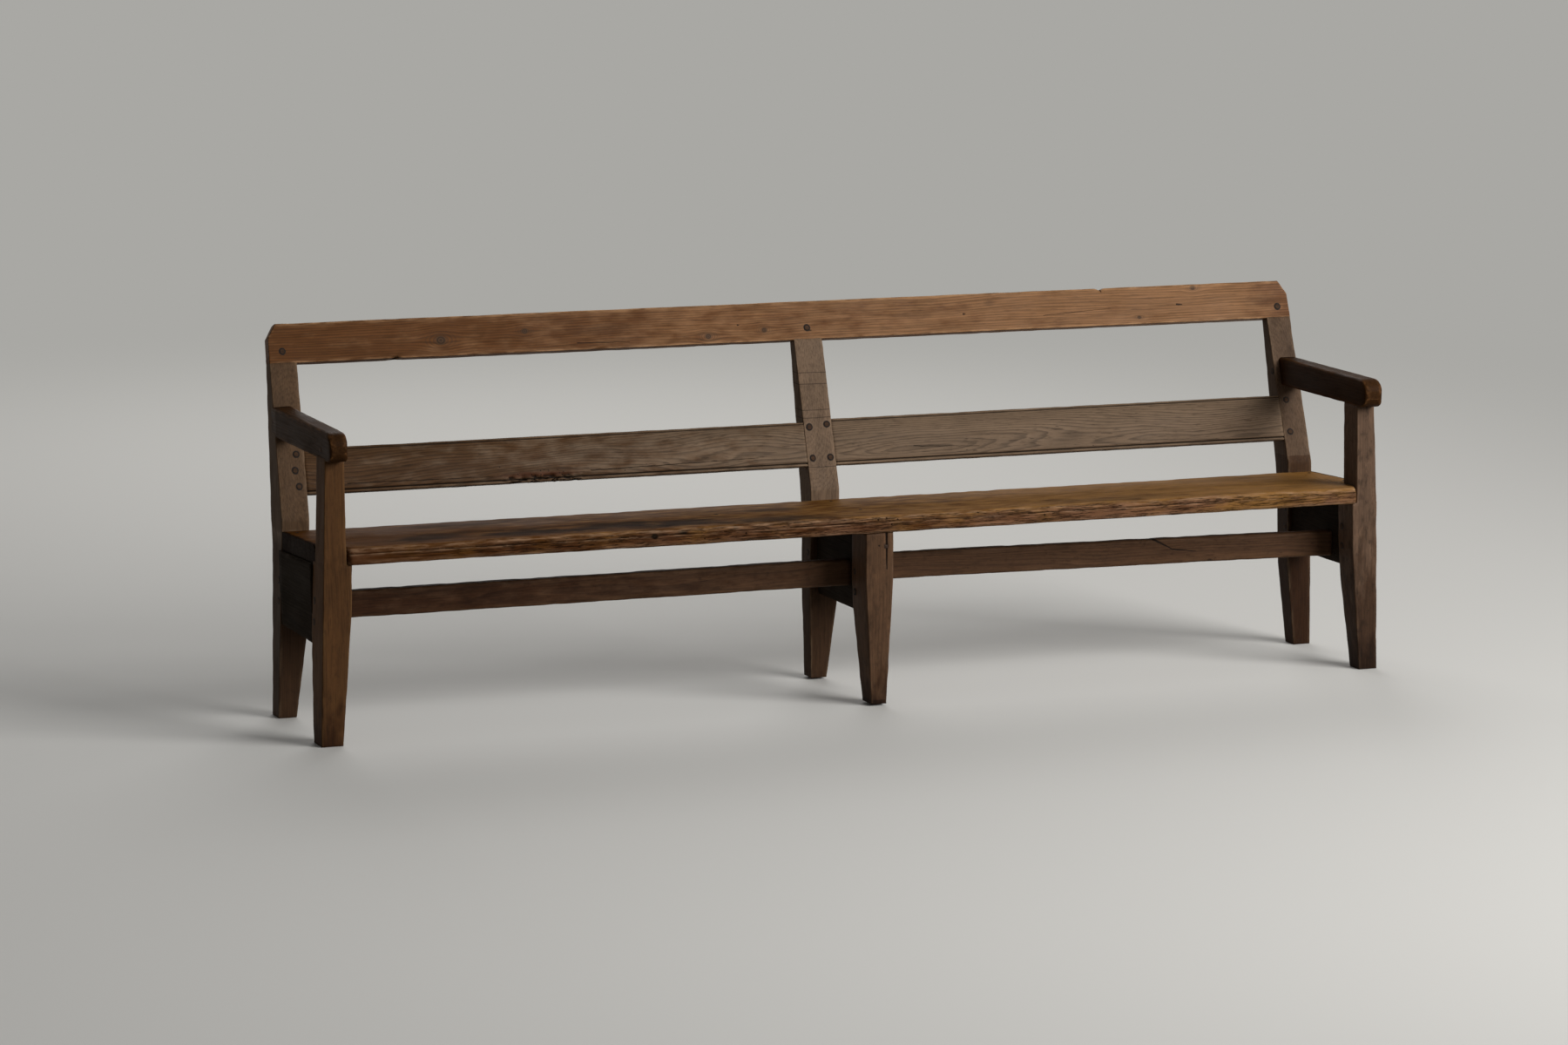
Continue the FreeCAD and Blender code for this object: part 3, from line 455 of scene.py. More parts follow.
for side in SIDES:
    node = f"{side}_front_leg"
    section = slicer(node, UPRIGHT)
    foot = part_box(node)[0].z / MM
    rows = sampled(section, spaced(foot + 0.3, SEAT_UNDER - 2, 5))
    shoulder = list(rows[-1])
    shoulder[0] = SEAT_UNDER + INTO_SEAT
    rows.append(shoulder)
    cracks = None
    if side == "middle":
        cracks = {0: (CRACK_FROM_LEFT,)}
    else:
        neck_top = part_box(f"{side}_arm")[0].z / MM + 3
        neck = sampled(section, spaced(shoulder[0] + 3, neck_top - 6, 5))
        neck[0][0] = shoulder[0] + 0.05
        neck[-1][0] = neck_top + 2
        rows += neck
    pieces[node] = timber(
        node + "_wood", UPRIGHT, rows,
        rectangle(*size_of(section(BELOW_SEAT)), (LEG_ARRIS,) * 4, 6, cracks),
        wave=0.5, chip=1.8, round_ends=(1.5, 0), crack_depth=leg_crack if cracks else None)

# %% [markdown]
# ## The arms
#
# Each arm is a bar on edge. Its nose is a quarter round that hands have polished, and its top
# edges are soft. Slices across the arm get lower towards the nose, so they stand close there.

# %% Arms
ARM_TOP_ROUND, ARM_ARRIS = 8.5, 4.0
ARM_NOSE, INTO_POST = 40, 6
for side, lean in (("left", -SPLAY), ("right", SPLAY)):
    node = f"{side}_arm"
    section = slicer(node, across(lean))
    nose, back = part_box(node)[0].y / MM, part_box(f"{side}_back_post")[0].y / MM
    post_face = slicer(f"{side}_back_post", UPRIGHT)(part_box(node)[1].z / MM)[1]
    places = np.concatenate([nose + ARM_NOSE * (1 - np.cos(np.linspace(0.12, math.pi / 2, 16))),
                             spaced(nose + ARM_NOSE + 5, post_face - 30, 6)])
    rows = sampled(section, places)
    rows[0][0] = nose + 0.2
    rows.append([post_face + INTO_POST, *rows[-1][1:]])
    pieces[node] = timber(
        node + "_wood", across(lean), rows,
        rectangle(*size_of(section((nose + back) / 2)),
                  (ARM_ARRIS, ARM_ARRIS, ARM_TOP_ROUND, ARM_TOP_ROUND), 5),
        wave=0.5, chip=1.2)

# %% [markdown]
# ## The boards under the seat
#
# Three deep boards on edge carry the plank. They were never meant to be seen: their faces are
# rough and their bottom edges hewn to a bevel. The bevel is one more corner of the profile.

# %% Cross boards
BOARD_ARRIS = 1.6
BEVEL_HIGH, BEVEL_DEEP = 26, 7
BOARD_LEVEL = 300      # a height where leg, board and post all are, mm
for side, lean in (("left", -SPLAY), ("middle", 0), ("right", SPLAY)):
    node = f"{side}_cross_board"
    section = slicer(node, across(lean))
    front = slicer(f"{side}_front_leg", UPRIGHT)(BOARD_LEVEL)[3]
    back = slicer(f"{side}_back_post", UPRIGHT)(BOARD_LEVEL)[1]
    rows = sampled(section, spaced(front + 4, back - 8, 5))
    for row in rows:
        row[4] -= 0.4
    rows[0][0] -= 8
    rows[-1][0] += 14
    width, height = size_of(section((front + back) / 2))
    profile = rectangle(width, height, (BOARD_ARRIS,) * 4, 7)
    level = profile[:, 2] * height + profile[:, 3]
    for face, way, bevelled in ((1, 1, side != "right"), (0, -1, side != "left")):
        low = (level < BEVEL_HIGH) & (profile[:, 0] == face)
        if bevelled:
            profile[low, 1] -= way * BEVEL_DEEP * (1 - level[low] / BEVEL_HIGH)
    pieces[node] = timber(node + "_wood", across(lean), rows, profile, wave=0.9, chip=2.5)

# %% [markdown]
# ## The stretchers
#
# Two stout rails tie the end boards to the middle one. Boots have worn their front edges round,
# and a splinter has gone from the top edge of the right one, where a crack runs on.

# %% Stretchers
STRETCHER_ROUND, STRETCHER_ARRIS = 6.5, 2.5
SPLINTER_AT, SPLINTER_LONG, SPLINTER_DEEP, SPLINTER_HIGH = 781, 11, 4.5, 10


def splintered(points):
    """A splinter gone from the top edge: steep at its right end, shallow to the left."""
    away = points[:, 0] - SPLINTER_AT
    reach = np.where(away > 0, SPLINTER_LONG * 0.5, SPLINTER_LONG * 2.5)
    below = points[:, 2].max() - points[:, 2]
    return SPLINTER_DEEP * np.exp(-(away / reach) ** 2) * np.clip(1 - below / SPLINTER_HIGH, 0, 1)


for side, start, stop in BAYS:
    node = f"{side}_stretcher"
    section = slicer(node, ALONG)
    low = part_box(f"{start}_cross_board")[1].x / MM + CLEAR
    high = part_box(f"{stop}_cross_board")[0].x / MM - CLEAR
    pieces[node] = timber(
        node + "_wood", ALONG, sampled(section, spaced(low, high, 6), 5),
        rectangle(*size_of(section((low + high) / 2)),
                  (STRETCHER_ROUND, STRETCHER_ARRIS, STRETCHER_ARRIS, STRETCHER_ROUND), 5),
        wave=0.9, chip=2.2, carve=splintered if side == "right" else None)

# %% [markdown]
# ## The beaded back rails
#
# A scratched bead runs along the top and the bottom edge of each oak rail, with a groove
# beside it. The bead's round and the groove are points of the profile's front side. Worm has
# opened the bottom bead of the left rail for a hand's length, so the skin is eaten away there.

# %% Back rails
BEAD, GROOVE, GROOVE_DEEP = 9.0, 3.0, 1.8
FOOT_BEAD, FOOT_GROOVE, FOOT_GROOVE_DEEP = 11.0, 5.0, 3.0
BEAD_STEPS, BEAD_FLAT = 8, 0.32       # the bead's round is drawn back by this share of its width
EATEN_FROM, EATEN_TO, EATEN_DEEP, EATEN_HIGH = -785, -570, 8.0, 18
RAIL_LEVEL = 560                      # a height where the rails meet the posts, mm


def beaded(width, height, spacing=6):
    """A rectangle whose low-a side, the front, has a bead and a groove at the top and the bottom."""
    rows = [list(row) for row in rectangle(width, height, (1, 1.5, 1.5, 1), spacing)
            if not (row[4] < -0.99 or (row[0] == 0 and row[4] < -0.3))]
    front = []
    for share, way, bead, groove, deep in ((1, -1, BEAD, GROOVE, GROOVE_DEEP),
                                           (0, 1, FOOT_BEAD, FOOT_GROOVE, FOOT_GROOVE_DEEP)):
        shape = []
        for step in range(BEAD_STEPS + 1):
            angle = math.pi * step / BEAD_STEPS
            out = (-math.sin(angle), -way * math.cos(angle))
            back = (1 - math.sin(angle)) * bead * BEAD_FLAT
            shape.append((0, back, share, way * bead * (1 - math.cos(angle)) / 2, *out, 0.8, 0))
        # The grooves beside the bead are painted dark: painted shade, with dirt.
        for at, depth, edge, hollow in ((0.15, deep, 0.1, 1), (0.85, deep, 0.1, 1), (1, 0, 0.5, 0)):
            shape.append((0, depth, share, way * (bead + groove * at), -1, 0, edge, hollow))
        front.append(shape)
    foot = FOOT_BEAD + FOOT_GROOVE
    field = height - BEAD - GROOVE - foot
    count = round(field / spacing)
    between = [(0, 0, 0, foot + field * (1 - i / count), -1, 0, 0, 0) for i in range(1, count)]
    return np.array(rows + front[0] + between + front[1][::-1], float)


def eaten(points):
    """The length of bead that worm has opened, deeper and shallower by noise."""
    inside = np.clip((points[:, 0] - EATEN_FROM) / 25, 0, 1) * np.clip((EATEN_TO - points[:, 0]) / 25, 0, 1)
    low = points[:, 2] - points[:, 2].min()
    bites = np.clip(rough(points + 70, (13, 6, 6)) + 0.1, 0, 1)
    return EATEN_DEEP * inside * np.clip((EATEN_HIGH - low) / 5, 0, 1) * bites ** 0.5


for side, start, stop in BAYS:
    node = f"{side}_back_rail"
    section = slicer(node, RAKED)
    low = slicer(f"{start}_back_post", UPRIGHT)(RAIL_LEVEL)[2] + CLEAR
    high = slicer(f"{stop}_back_post", UPRIGHT)(RAIL_LEVEL)[0] - CLEAR
    pieces[node] = timber(
        node + "_wood", RAKED, sampled(section, spaced(low, high, 4), 5),
        beaded(*size_of(section((low + high) / 2))), wave=0.5, chip=1.2,
        carve=eaten if side == "left" else None)

# %% [markdown]
# ## The seat
#
# The plank is the heart of the bench. Its front edge is a nose that thousands of sitters have
# worn round and pale, with long drying cracks along it; its pale edge is also a painted
# highlight. Each end is notched round a leg. The slices find the notch: the section's front
# edge jumps back there, and two rings stand at the jump.

# %% Seat
NOSE_ROUND, CHIN_ROUND, BACK_ROUND = 17.0, 7.0, 2.5
NOSE_CRACKS = (13.0, 19.5, 26.0)      # mm down the nose
NOSE_CRACK_DEEP = 3.0
SAT_HIGH, SAT_DEEP, SAT_GRAIN = 14, 2.2, (330, 1, 1)      # where people sat, mm
RUN_DEEP, RUN_GRAIN, NOSE_FADE = 1.2, (90, 1, 1), 45      # how the front edge runs in and out, mm


def jump(section, inside, outside):
    """Where the section's front edge jumps between two places, by halving."""
    front = section(inside)[0]
    for _ in range(24):
        halfway = (inside + outside) / 2
        if abs(section(halfway)[0] - front) < 10:
            inside = halfway
        else:
            outside = halfway
    return inside


def nose_crack(points):
    """Drying cracks that open and close along the nose, each by a noise of its own."""
    rows = np.round(points[:, 2:3] / 6) * (0, 11, 0)
    return NOSE_CRACK_DEEP * np.clip(rough(points * (1, 0, 0) + rows, (170, 1, 1)) + 0.05, 0, 1)


def sat_in(points):
    """Hollows where people sat, and a front edge that runs in and out."""
    top = points[:, 2] > points[:, 2].max() - SAT_HIGH
    near_nose = np.exp(-(points[:, 1] - points[:, 1].min()) / NOSE_FADE)
    places = points * (1, 0, 0)
    return (top * near_nose * SAT_DEEP * np.clip(rough(places, SAT_GRAIN) + 0.5, 0, 1.2)
            + near_nose * RUN_DEEP * np.clip(rough(places + 40, RUN_GRAIN) + 0.3, 0, 1))


section = slicer("seat_plank", SLOPED)
seat_low, seat_high = (corner.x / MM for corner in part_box("seat_plank"))
left_notch, right_notch = jump(section, 0, seat_low + 10), jump(section, 0, seat_high - 10)
rows = sampled(section, spaced(left_notch, right_notch, 6))
left_rows = sampled(section, spaced(seat_low + 3, left_notch - 0.4, 6))
right_rows = sampled(section, spaced(right_notch + 0.4, seat_high - 3, 6))
left_rows[0][0], left_rows[-1][0] = seat_low + 0.4, left_notch - 0.05
right_rows[0][0], right_rows[-1][0] = right_notch + 0.05, seat_high - 0.4
width, height = size_of(section(0))
pieces["seat_plank"] = timber(
    "seat_wood", SLOPED, left_rows + rows + right_rows,
    rectangle(width, height, (CHIN_ROUND, BACK_ROUND, BACK_ROUND, NOSE_ROUND), 9,
              {3: tuple(height - c for c in NOSE_CRACKS)}),
    wave=0.8, chip=2.0, round_ends=(1.5, 1.5), carve=sat_in, crack_depth=nose_crack)

# %% [markdown]
# ## Nodes and colours
#
# Each tree of nodes below is built by one small function, which adds a node, sets it up and
# links it. Colours are written in hex as on a screen, and turned to the linear values that
# Blender works in. The plain finishes are old dirt with painted shade, matt and nearly black,
# for the gaps round the pegs, and forged iron that has rusted brown: a metal, but too rough to
# mirror anything.

# %% Nodes and colours
MATH, VECTOR, RANGE = "ShaderNodeMath", "ShaderNodeVectorMath", "ShaderNodeMapRange"
MIX, XYZ = "ShaderNodeMix", "ShaderNodeCombineXYZ"
SOFT = {"interpolation_type": "SMOOTHSTEP"}


def add(tree, kind, inputs=(), out=None, **settings):
    """Add a node, set it up, and link or fill its inputs, which come in order or by name.

    Returns the node, or the one of its outputs that out tells.
    """
    made = tree.nodes.new(kind)
    for name, value in settings.items():
        setattr(made, name, value)
    for key, value in inputs.items() if isinstance(inputs, dict) else enumerate(inputs):
        if isinstance(value, bpy.types.NodeSocket):
            tree.links.new(value, made.inputs[key])
        else:
            made.inputs[key].default_value = value
    return made if out is None else made.outputs[out]


def rgb(text):
    """A colour written as sRGB hex, as the linear values that Blender works in."""
    parts = [int(text[i:i + 2], 16) / 255 for i in (1, 3, 5)]
    return (*(c / 12.92 if c <= 0.04045 else ((c + 0.055) / 1.055) ** 2.4 for c in parts), 1)


def shade(text, factor):
    """A hex colour made lighter or darker."""
    parts = [min(255, round(int(text[i:i + 2], 16) * factor)) for i in (1, 3, 5)]
    return "#{:02x}{:02x}{:02x}".format(*parts)


def plain(name, colour, roughness, metallic=0.0):
    """A finish of one colour."""
    material = bpy.data.materials.new(name)
    material.use_nodes = True
    shader = material.node_tree.nodes["Principled BSDF"]
    shader.inputs["Base Color"].default_value = rgb(colour)
    shader.inputs["Roughness"].default_value = roughness
    shader.inputs["Metallic"].default_value = metallic
    return material


# A dark ring round each peg head stands for the gap round it: painted shade, with old dirt.
gap_dirt_and_shade = plain("old dirt and painted shade in a gap", "#1a120c", 0.95)
forged = plain("forged iron, rusted brown", "#33251c", 0.7, 0.6)
print("plain finishes:", gap_dirt_and_shade.name, "and", forged.name)

# %% [markdown]
# ## Old wood, cut from a tree
#
# A plank is a slice of a trunk, so its figure is best made the same way: rings round a pith,
# sliced by whatever surface is there. The ends then show rings, and the faces show the long
# arches of the same rings. A knot pushes the rings aside. Every number is in mm, along and
# across the tree, not the plank.
#
# Everything reads Object coordinates, turned so that the tree's length is X. Each noise has its
# size from what it stands for. The fibres and pores of real pine and oak are a few tenths of a
# mm wide, too fine to show from eleven metres, so they are drawn 2 to 3 mm wide here; so is the
# crackle on the seat's nose, whose real lines stand closer.

# %% Noise and distance
TURNS = {"x": (0, 0, 0), "y": (0, 0, math.radians(-90)), "z": (0, math.radians(90), 0)}
# Of each noise: its size in mm along and across the tree, detail, roughness and a shift.
NOISES = {
    "bend": ((520, 85, 85), 1.5, 0.5, 0), "uneven": ((190, 12, 12), 2, 0.5, 3),
    "fibre": ((150, 3.2, 3.2), 3, 0.62, 5), "slow": ((420, 45, 45), 2, 0.5, 7),
    "patch": ((150, 70, 70), 4, 0.62, 11), "pore": ((38, 2.2, 2.2), 1, 0.5, 13),
    "rubbing": ((46, 7, 7), 4, 0.6, 17), "dirt": ((24, 14, 14), 4, 0.65, 19),
    "fringe": ((60, 22, 22), 3, 0.5, 23), "mottle": ((30, 13, 13), 4, 0.7, 29),
    "wander": ((16, 9, 9), 2, 0.5, 31), "crackle": ((110, 24, 5), 4, 0.66, 37),
}


def field(tree, key, source, seed, out=0):
    """One noise of the table, read at points in mm."""
    size, detail, roughness, shift = NOISES[key]
    moved = add(tree, VECTOR, (source, [1 / s for s in size], (seed + shift,) * 3), 0,
                operation="MULTIPLY_ADD")
    return add(tree, "ShaderNodeTexNoise",
               {"Vector": moved, "Scale": 1.0, "Detail": detail, "Roughness": roughness}, out)


def away(tree, source, centre, reach):
    """How far points lie from a centre, where 1 is the reach. A reach of 0 isn't measured."""
    share = [1 / r if r else 0 for r in reach]
    back = [-c * s for c, s in zip(centre, share)]
    apart = add(tree, VECTOR, (source, share, back), 0, operation="MULTIPLY_ADD")
    return add(tree, VECTOR, (apart,), "Value", operation="LENGTH")


# %% Rings
def rings_in(tree, finish, turned, pith, knots, seed):
    """Rings round the pith, bent by a noise and by the knots.

    Gives where in its ring a point lies, from 0 to 1, then the bent points, and for each knot
    how far a point is from its eye and from the ripples round it.
    """
    bend = add(tree, VECTOR, (field(tree, "bend", turned, seed, "Color"), (0.5,) * 3), 0,
               operation="SUBTRACT")
    flow = add(tree, VECTOR, (bend, (0, finish["warp"], finish["warp"]), turned), 0,
               operation="MULTIPLY_ADD")
    spots = []
    for along, up, radius in knots:
        swirl = away(tree, turned, (along, 0, up), (radius * 2.6, 0, radius * 1.5))
        fall = add(tree, MATH, (swirl, swirl), 0, operation="MULTIPLY")
        fall = add(tree, MATH, (fall, -0.5), 0, operation="MULTIPLY")
        near = add(tree, XYZ, {"Z": add(tree, MATH, (math.e, fall), 0, operation="POWER")}, 0)
        pull = add(tree, VECTOR, (turned, (0, 0, -0.8), (0, 0, 0.8 * up)), 0, operation="MULTIPLY_ADD")
        flow = add(tree, VECTOR, (pull, near, flow), 0, operation="MULTIPLY_ADD")
        spots.append((away(tree, turned, (along, 0, up), (radius * 1.2, 0, radius)), swirl))
    phase = add(tree, MATH, (away(tree, flow, (0, *pith), (0, 1, 1)), finish["ring"]), 0,
                operation="DIVIDE")
    phase = add(tree, MATH, (field(tree, "uneven", turned, seed), finish["uneven"], phase), 0,
                operation="MULTIPLY_ADD")
    return add(tree, MATH, (phase,), 0, operation="FRACT"), flow, spots


# %% [markdown]
# ## What is dark and deep
#
# Worm holes are the middles of random cells, small and only inside a given reach. A split
# runs from one place to another on the timber's face and wanders a little. Checks are the thin
# lines where a long noise crosses its middle, as old varnish and dry wood crack along the
# grain. All of them join what the skin itself says is hollow; there the dark is painted shade,
# with the dirt that lies in such hollows.

# %% Hollows
def hollows(tree, marks, here, turned, seed):
    """How hollow each point is, from 0 to 1."""
    holes = []
    for cell, radius, centre, reach in marks.get("worm", ()):
        near = add(tree, "ShaderNodeTexVoronoi", {"Vector": here, "Scale": 1 / cell}, "Distance")
        size = add(tree, RANGE, (away(tree, here, centre, reach), 0.5, 1, radius / cell, 0), 0)
        holes.append(add(tree, MATH, (near, size), 0, operation="LESS_THAN"))
    for (start_x, start_z), (end_x, end_z), half in marks.get("splits", ()):
        along = Vector((end_x - start_x, 0, end_z - start_z))
        wavy = add(tree, VECTOR, (field(tree, "wander", turned, seed, "Color"), (3, 3, 3), here), 0,
                   operation="MULTIPLY_ADD")
        apart = add(tree, VECTOR, (wavy, (1, 0, 1), (-start_x - 1.5, 0, -start_z - 1.5)), 0,
                    operation="MULTIPLY_ADD")
        share = add(tree, VECTOR, (apart, along / along.length_squared), "Value", operation="DOT_PRODUCT")
        share = add(tree, RANGE, (share, 0, 1, 0, 1), 0)
        foot = add(tree, VECTOR, {0: along, "Scale": share}, 0, operation="SCALE")
        far = add(tree, VECTOR, (apart, foot), "Value", operation="DISTANCE")
        far = add(tree, MATH, (share, half * 0.6, far), 0, operation="MULTIPLY_ADD")
        holes.append(add(tree, RANGE, (far, half * 1.3, half * 0.7, 0, 1), 0))
    for centre, reach, amount in marks.get("checks", ()):
        inside = add(tree, RANGE, (away(tree, here, centre, reach), 0.75, 1, amount, 0), 0, **SOFT)
        level = add(tree, MATH, (field(tree, "crackle", turned, seed), 0.5), 0, operation="SUBTRACT")
        level = add(tree, MATH, (level,), 0, operation="ABSOLUTE")
        line = add(tree, RANGE, (level, 0.045, 0.018, 0, 1), 0)
        holes.append(add(tree, MATH, (line, inside), 0, operation="MULTIPLY"))
    deepest = add(tree, "ShaderNodeAttribute", out="Fac", attribute_name="hollow")
    for hole in holes:
        deepest = add(tree, MATH, (deepest, hole), 0, operation="MAXIMUM")
    return deepest


# %% [markdown]
# ## Layers of colour
#
# A finish has one base colour, and its other tones are shades of it. Over the rings come, in
# this order: fibres, a slow change of tone, patches of stain and mottling; then this timber's
# own marks, which are blots at known places and tints that darken it from one height, length
# or depth to another, some of them painted shade; then pores, knots, the pale edges that
# rubbing leaves, which are also a painted highlight, dirt, lines that a carpenter scribed
# across, and last the hollows, painted dark as shade and dirt. They are gathered as a list of
# layers and mixed by one loop.

# %% Tones, knots and marks
# Of each tone: its noise, where it starts and is full, which value of the finish says how much,
# a share of that, and the shade of the base, or 0 for the stain.
TONES = (("fibre", 0.47, 0.72, "streak", 1, 0.62), ("fibre", 0.46, 0.3, "streak", 0.5, 1.2),
         ("slow", 0.42, 0.75, "tone", 1, 0.72), ("slow", 0.5, 0.25, "tone", 0.5, 1.2),
         ("patch", 0.54, 0.7, "stained", 1, 0), ("mottle", 0.5, 0.7, "mottle", 1, 0.5),
         ("mottle", 0.45, 0.3, "mottle", 0.5, 1.3))


def knot_layers(tree, base, spots):
    """Ripples round each knot, and its dark eye with rings of its own."""
    layers = []
    for heart, swirl in spots:
        ripple, ring = (add(tree, MATH, (add(tree, MATH, (value, count), 0, operation="MULTIPLY"),), 0,
                            operation="FRACT") for value, count in ((swirl, 3.5), (heart, 2.3)))
        ripple = add(tree, RANGE, (ripple, 0.4, 0.8, 0, 1), 0, **SOFT)
        fade = add(tree, RANGE, (swirl, 1.7, 0.5, 0, 0.5), 0, **SOFT)
        layers.append((shade(base, 0.45), add(tree, MATH, (ripple, fade), 0, operation="MULTIPLY")))
        ring = add(tree, RANGE, (ring, 0.15, 0.9, 0, 1), 0)
        eye = add(tree, MIX, {"Factor": ring, "A": rgb(shade(base, 0.3)), "B": rgb(shade(base, 0.62))},
                  "Result", data_type="RGBA")
        layers.append((eye, add(tree, RANGE, (heart, 0.6, 1.05, 0.9, 0), 0, **SOFT)))
    return layers


def mark_layers(tree, marks, stain, here, heights, patch, fringe):
    """The blots of one timber, and its tints, some of which are painted shade."""
    layers = []
    ragged = add(tree, RANGE, (patch, 0.3, 0.7, 0.55, -0.55), 0)
    for centre, reach, amount, *tint in marks.get("blots", ()):
        far = add(tree, MATH, (away(tree, here, centre, reach), ragged), 0, operation="ADD")
        layers.append((tint[0] if tint else stain, add(tree, RANGE, (far, 1.15, 0.35, 0, amount), 0, **SOFT)))
    # Tints that darken by height, length or depth; some of them are painted shade.
    for axis, start, end, tint, amount in marks.get("tints_and_shade", ()):
        fray = abs(end - start) * 0.6
        place = add(tree, RANGE, (fringe, 0.2, 0.8, -fray, fray), 0)
        place = add(tree, MATH, (heights[axis], place), 0, operation="ADD")
        layers.append((tint, add(tree, RANGE, (place, start, end, 0, amount), 0, **SOFT), "MULTIPLY"))
    return layers


# %% Wood
def wood(name, finish, grain, pith, tilt=(0, 0), rake=0.0, knots=(), seed=0.0, marks=None):
    """A wood for one timber. grain is its long axis; pith is where the tree's heart runs, in mm
    along the two cross directions of the turned frame; tilt leans the heart, in degrees."""
    material = bpy.data.materials.new(name)
    material.use_nodes = True
    tree = material.node_tree
    shader = tree.nodes["Principled BSDF"]
    marks = marks or {}
    base, stain = finish["base"], finish["stain"]
    turn = Vector(TURNS[grain]) + Vector((rake, math.radians(tilt[0]), math.radians(tilt[1])))
    place = add(tree, "ShaderNodeTexCoord", out="Object")
    turned = add(tree, "ShaderNodeMapping", {"Vector": place, "Rotation": turn, "Scale": (1 / MM,) * 3}, 0,
                 vector_type="POINT")
    here = add(tree, VECTOR, (place, (1 / MM,) * 3), 0, operation="MULTIPLY")
    heights = dict(zip("xyz", add(tree, "ShaderNodeSeparateXYZ", (here,)).outputs))
    saw, flow, spots = rings_in(tree, finish, turned, pith, knots, seed)
    clouds = {key: field(tree, key, flow if key in ("fibre", "pore") else turned, seed)
              for key in ("fibre", "slow", "patch", "mottle", "pore", "rubbing", "dirt", "fringe")}

    ramp = add(tree, "ShaderNodeValToRGB", (saw,))
    stops, figure = ramp.color_ramp.elements, finish["figure"]
    stops[0].color, stops[1].color = (rgb(shade(base, 1 + figure * 0.3)),) * 2
    for at, tone in ((0.5, 1.0), (0.78, 1 - figure), (0.9, 1 - figure)):
        stops.new(at).color = rgb(shade(base, tone))

    layers = []
    for key, start, full, amount, share, tint in TONES:
        over = add(tree, RANGE, (clouds[key], start, full, 0, finish[amount] * share), 0,
                   **({} if key == "fibre" else SOFT))
        layers.append((shade(base, tint) if tint else stain, over))
    layers += mark_layers(tree, marks, stain, here, heights, clouds["patch"], clouds["fringe"])
    layers.append((stain, add(tree, RANGE, (clouds["pore"], 0.6, 0.72, 0, finish["pores"]), 0, **SOFT)))
    layers += knot_layers(tree, base, spots)
    # Pale rubbed edges: wear, and on the head rail's rounded top and the seat's nose also a painted
    # highlight.
    edge = add(tree, "ShaderNodeAttribute", out="Fac", attribute_name="edge")
    edge = add(tree, MATH, (edge, 3), 0, operation="POWER")
    rub_and_highlight = add(tree, RANGE, (clouds["rubbing"], 0.42, 0.64, 0.1, 1), 0)
    for factor in (rub_and_highlight, finish["rub_and_highlight"]):
        edge = add(tree, MATH, (edge, factor), 0, operation="MULTIPLY")
    layers.append((finish["worn"], edge))
    layers.append((stain, add(tree, RANGE, (clouds["dirt"], 0.58, 0.76, 0, finish["dirt"]), 0, **SOFT)))
    for level in marks.get("scribed", ()):
        wobble = add(tree, RANGE, (clouds["slow"], 0, 1, -1.5, 1.5), 0)
        wobble = add(tree, MATH, (heights["z"], wobble), 0, operation="ADD")
        line = add(tree, MATH, (wobble, level, 0.9), 0, operation="COMPARE")
        layers.append((stain, add(tree, MATH, (line, 0.7), 0, operation="MULTIPLY")))
    # The hollows are painted dark: painted shade and dirt in the skin's cracks, grooves and bites, and the
    # drawn splits, worm holes and checks.
    holes = hollows(tree, marks, here, turned, seed)
    layers.append((finish["hollow"], add(tree, MATH, (holes, 0.9), 0, operation="MULTIPLY")))

    colour = ramp.outputs["Color"]
    for tint, amount, *way in layers:
        tint = rgb(tint) if isinstance(tint, str) else tint
        colour = add(tree, MIX, {"Factor": amount, "A": colour, "B": tint}, "Result", data_type="RGBA",
                     blend_type=way[0] if way else "MIX")
    tree.links.new(colour, shader.inputs["Base Color"])
    dull = add(tree, MATH, (clouds["fibre"], clouds["patch"]), 0, operation="ADD")
    gloss = finish["gloss"]
    tree.links.new(add(tree, RANGE, (dull, 0.7, 1.3, gloss, gloss + 0.2), 0), shader.inputs["Roughness"])
    shader.inputs["Specular IOR Level"].default_value = finish["specular"]
    relief = clouds["fibre"]
    for height, weight in ((saw, 0.25), (clouds["pore"], -0.5), (clouds["dirt"], 0.6), (holes, -2)):
        relief = add(tree, MATH, (height, weight, relief), 0, operation="MULTIPLY_ADD")
    bump = add(tree, "ShaderNodeBump", {"Height": relief, "Strength": 0.6, "Distance": finish["relief"] * MM})
    tree.links.new(bump.outputs["Normal"], shader.inputs["Normal"])
    return material
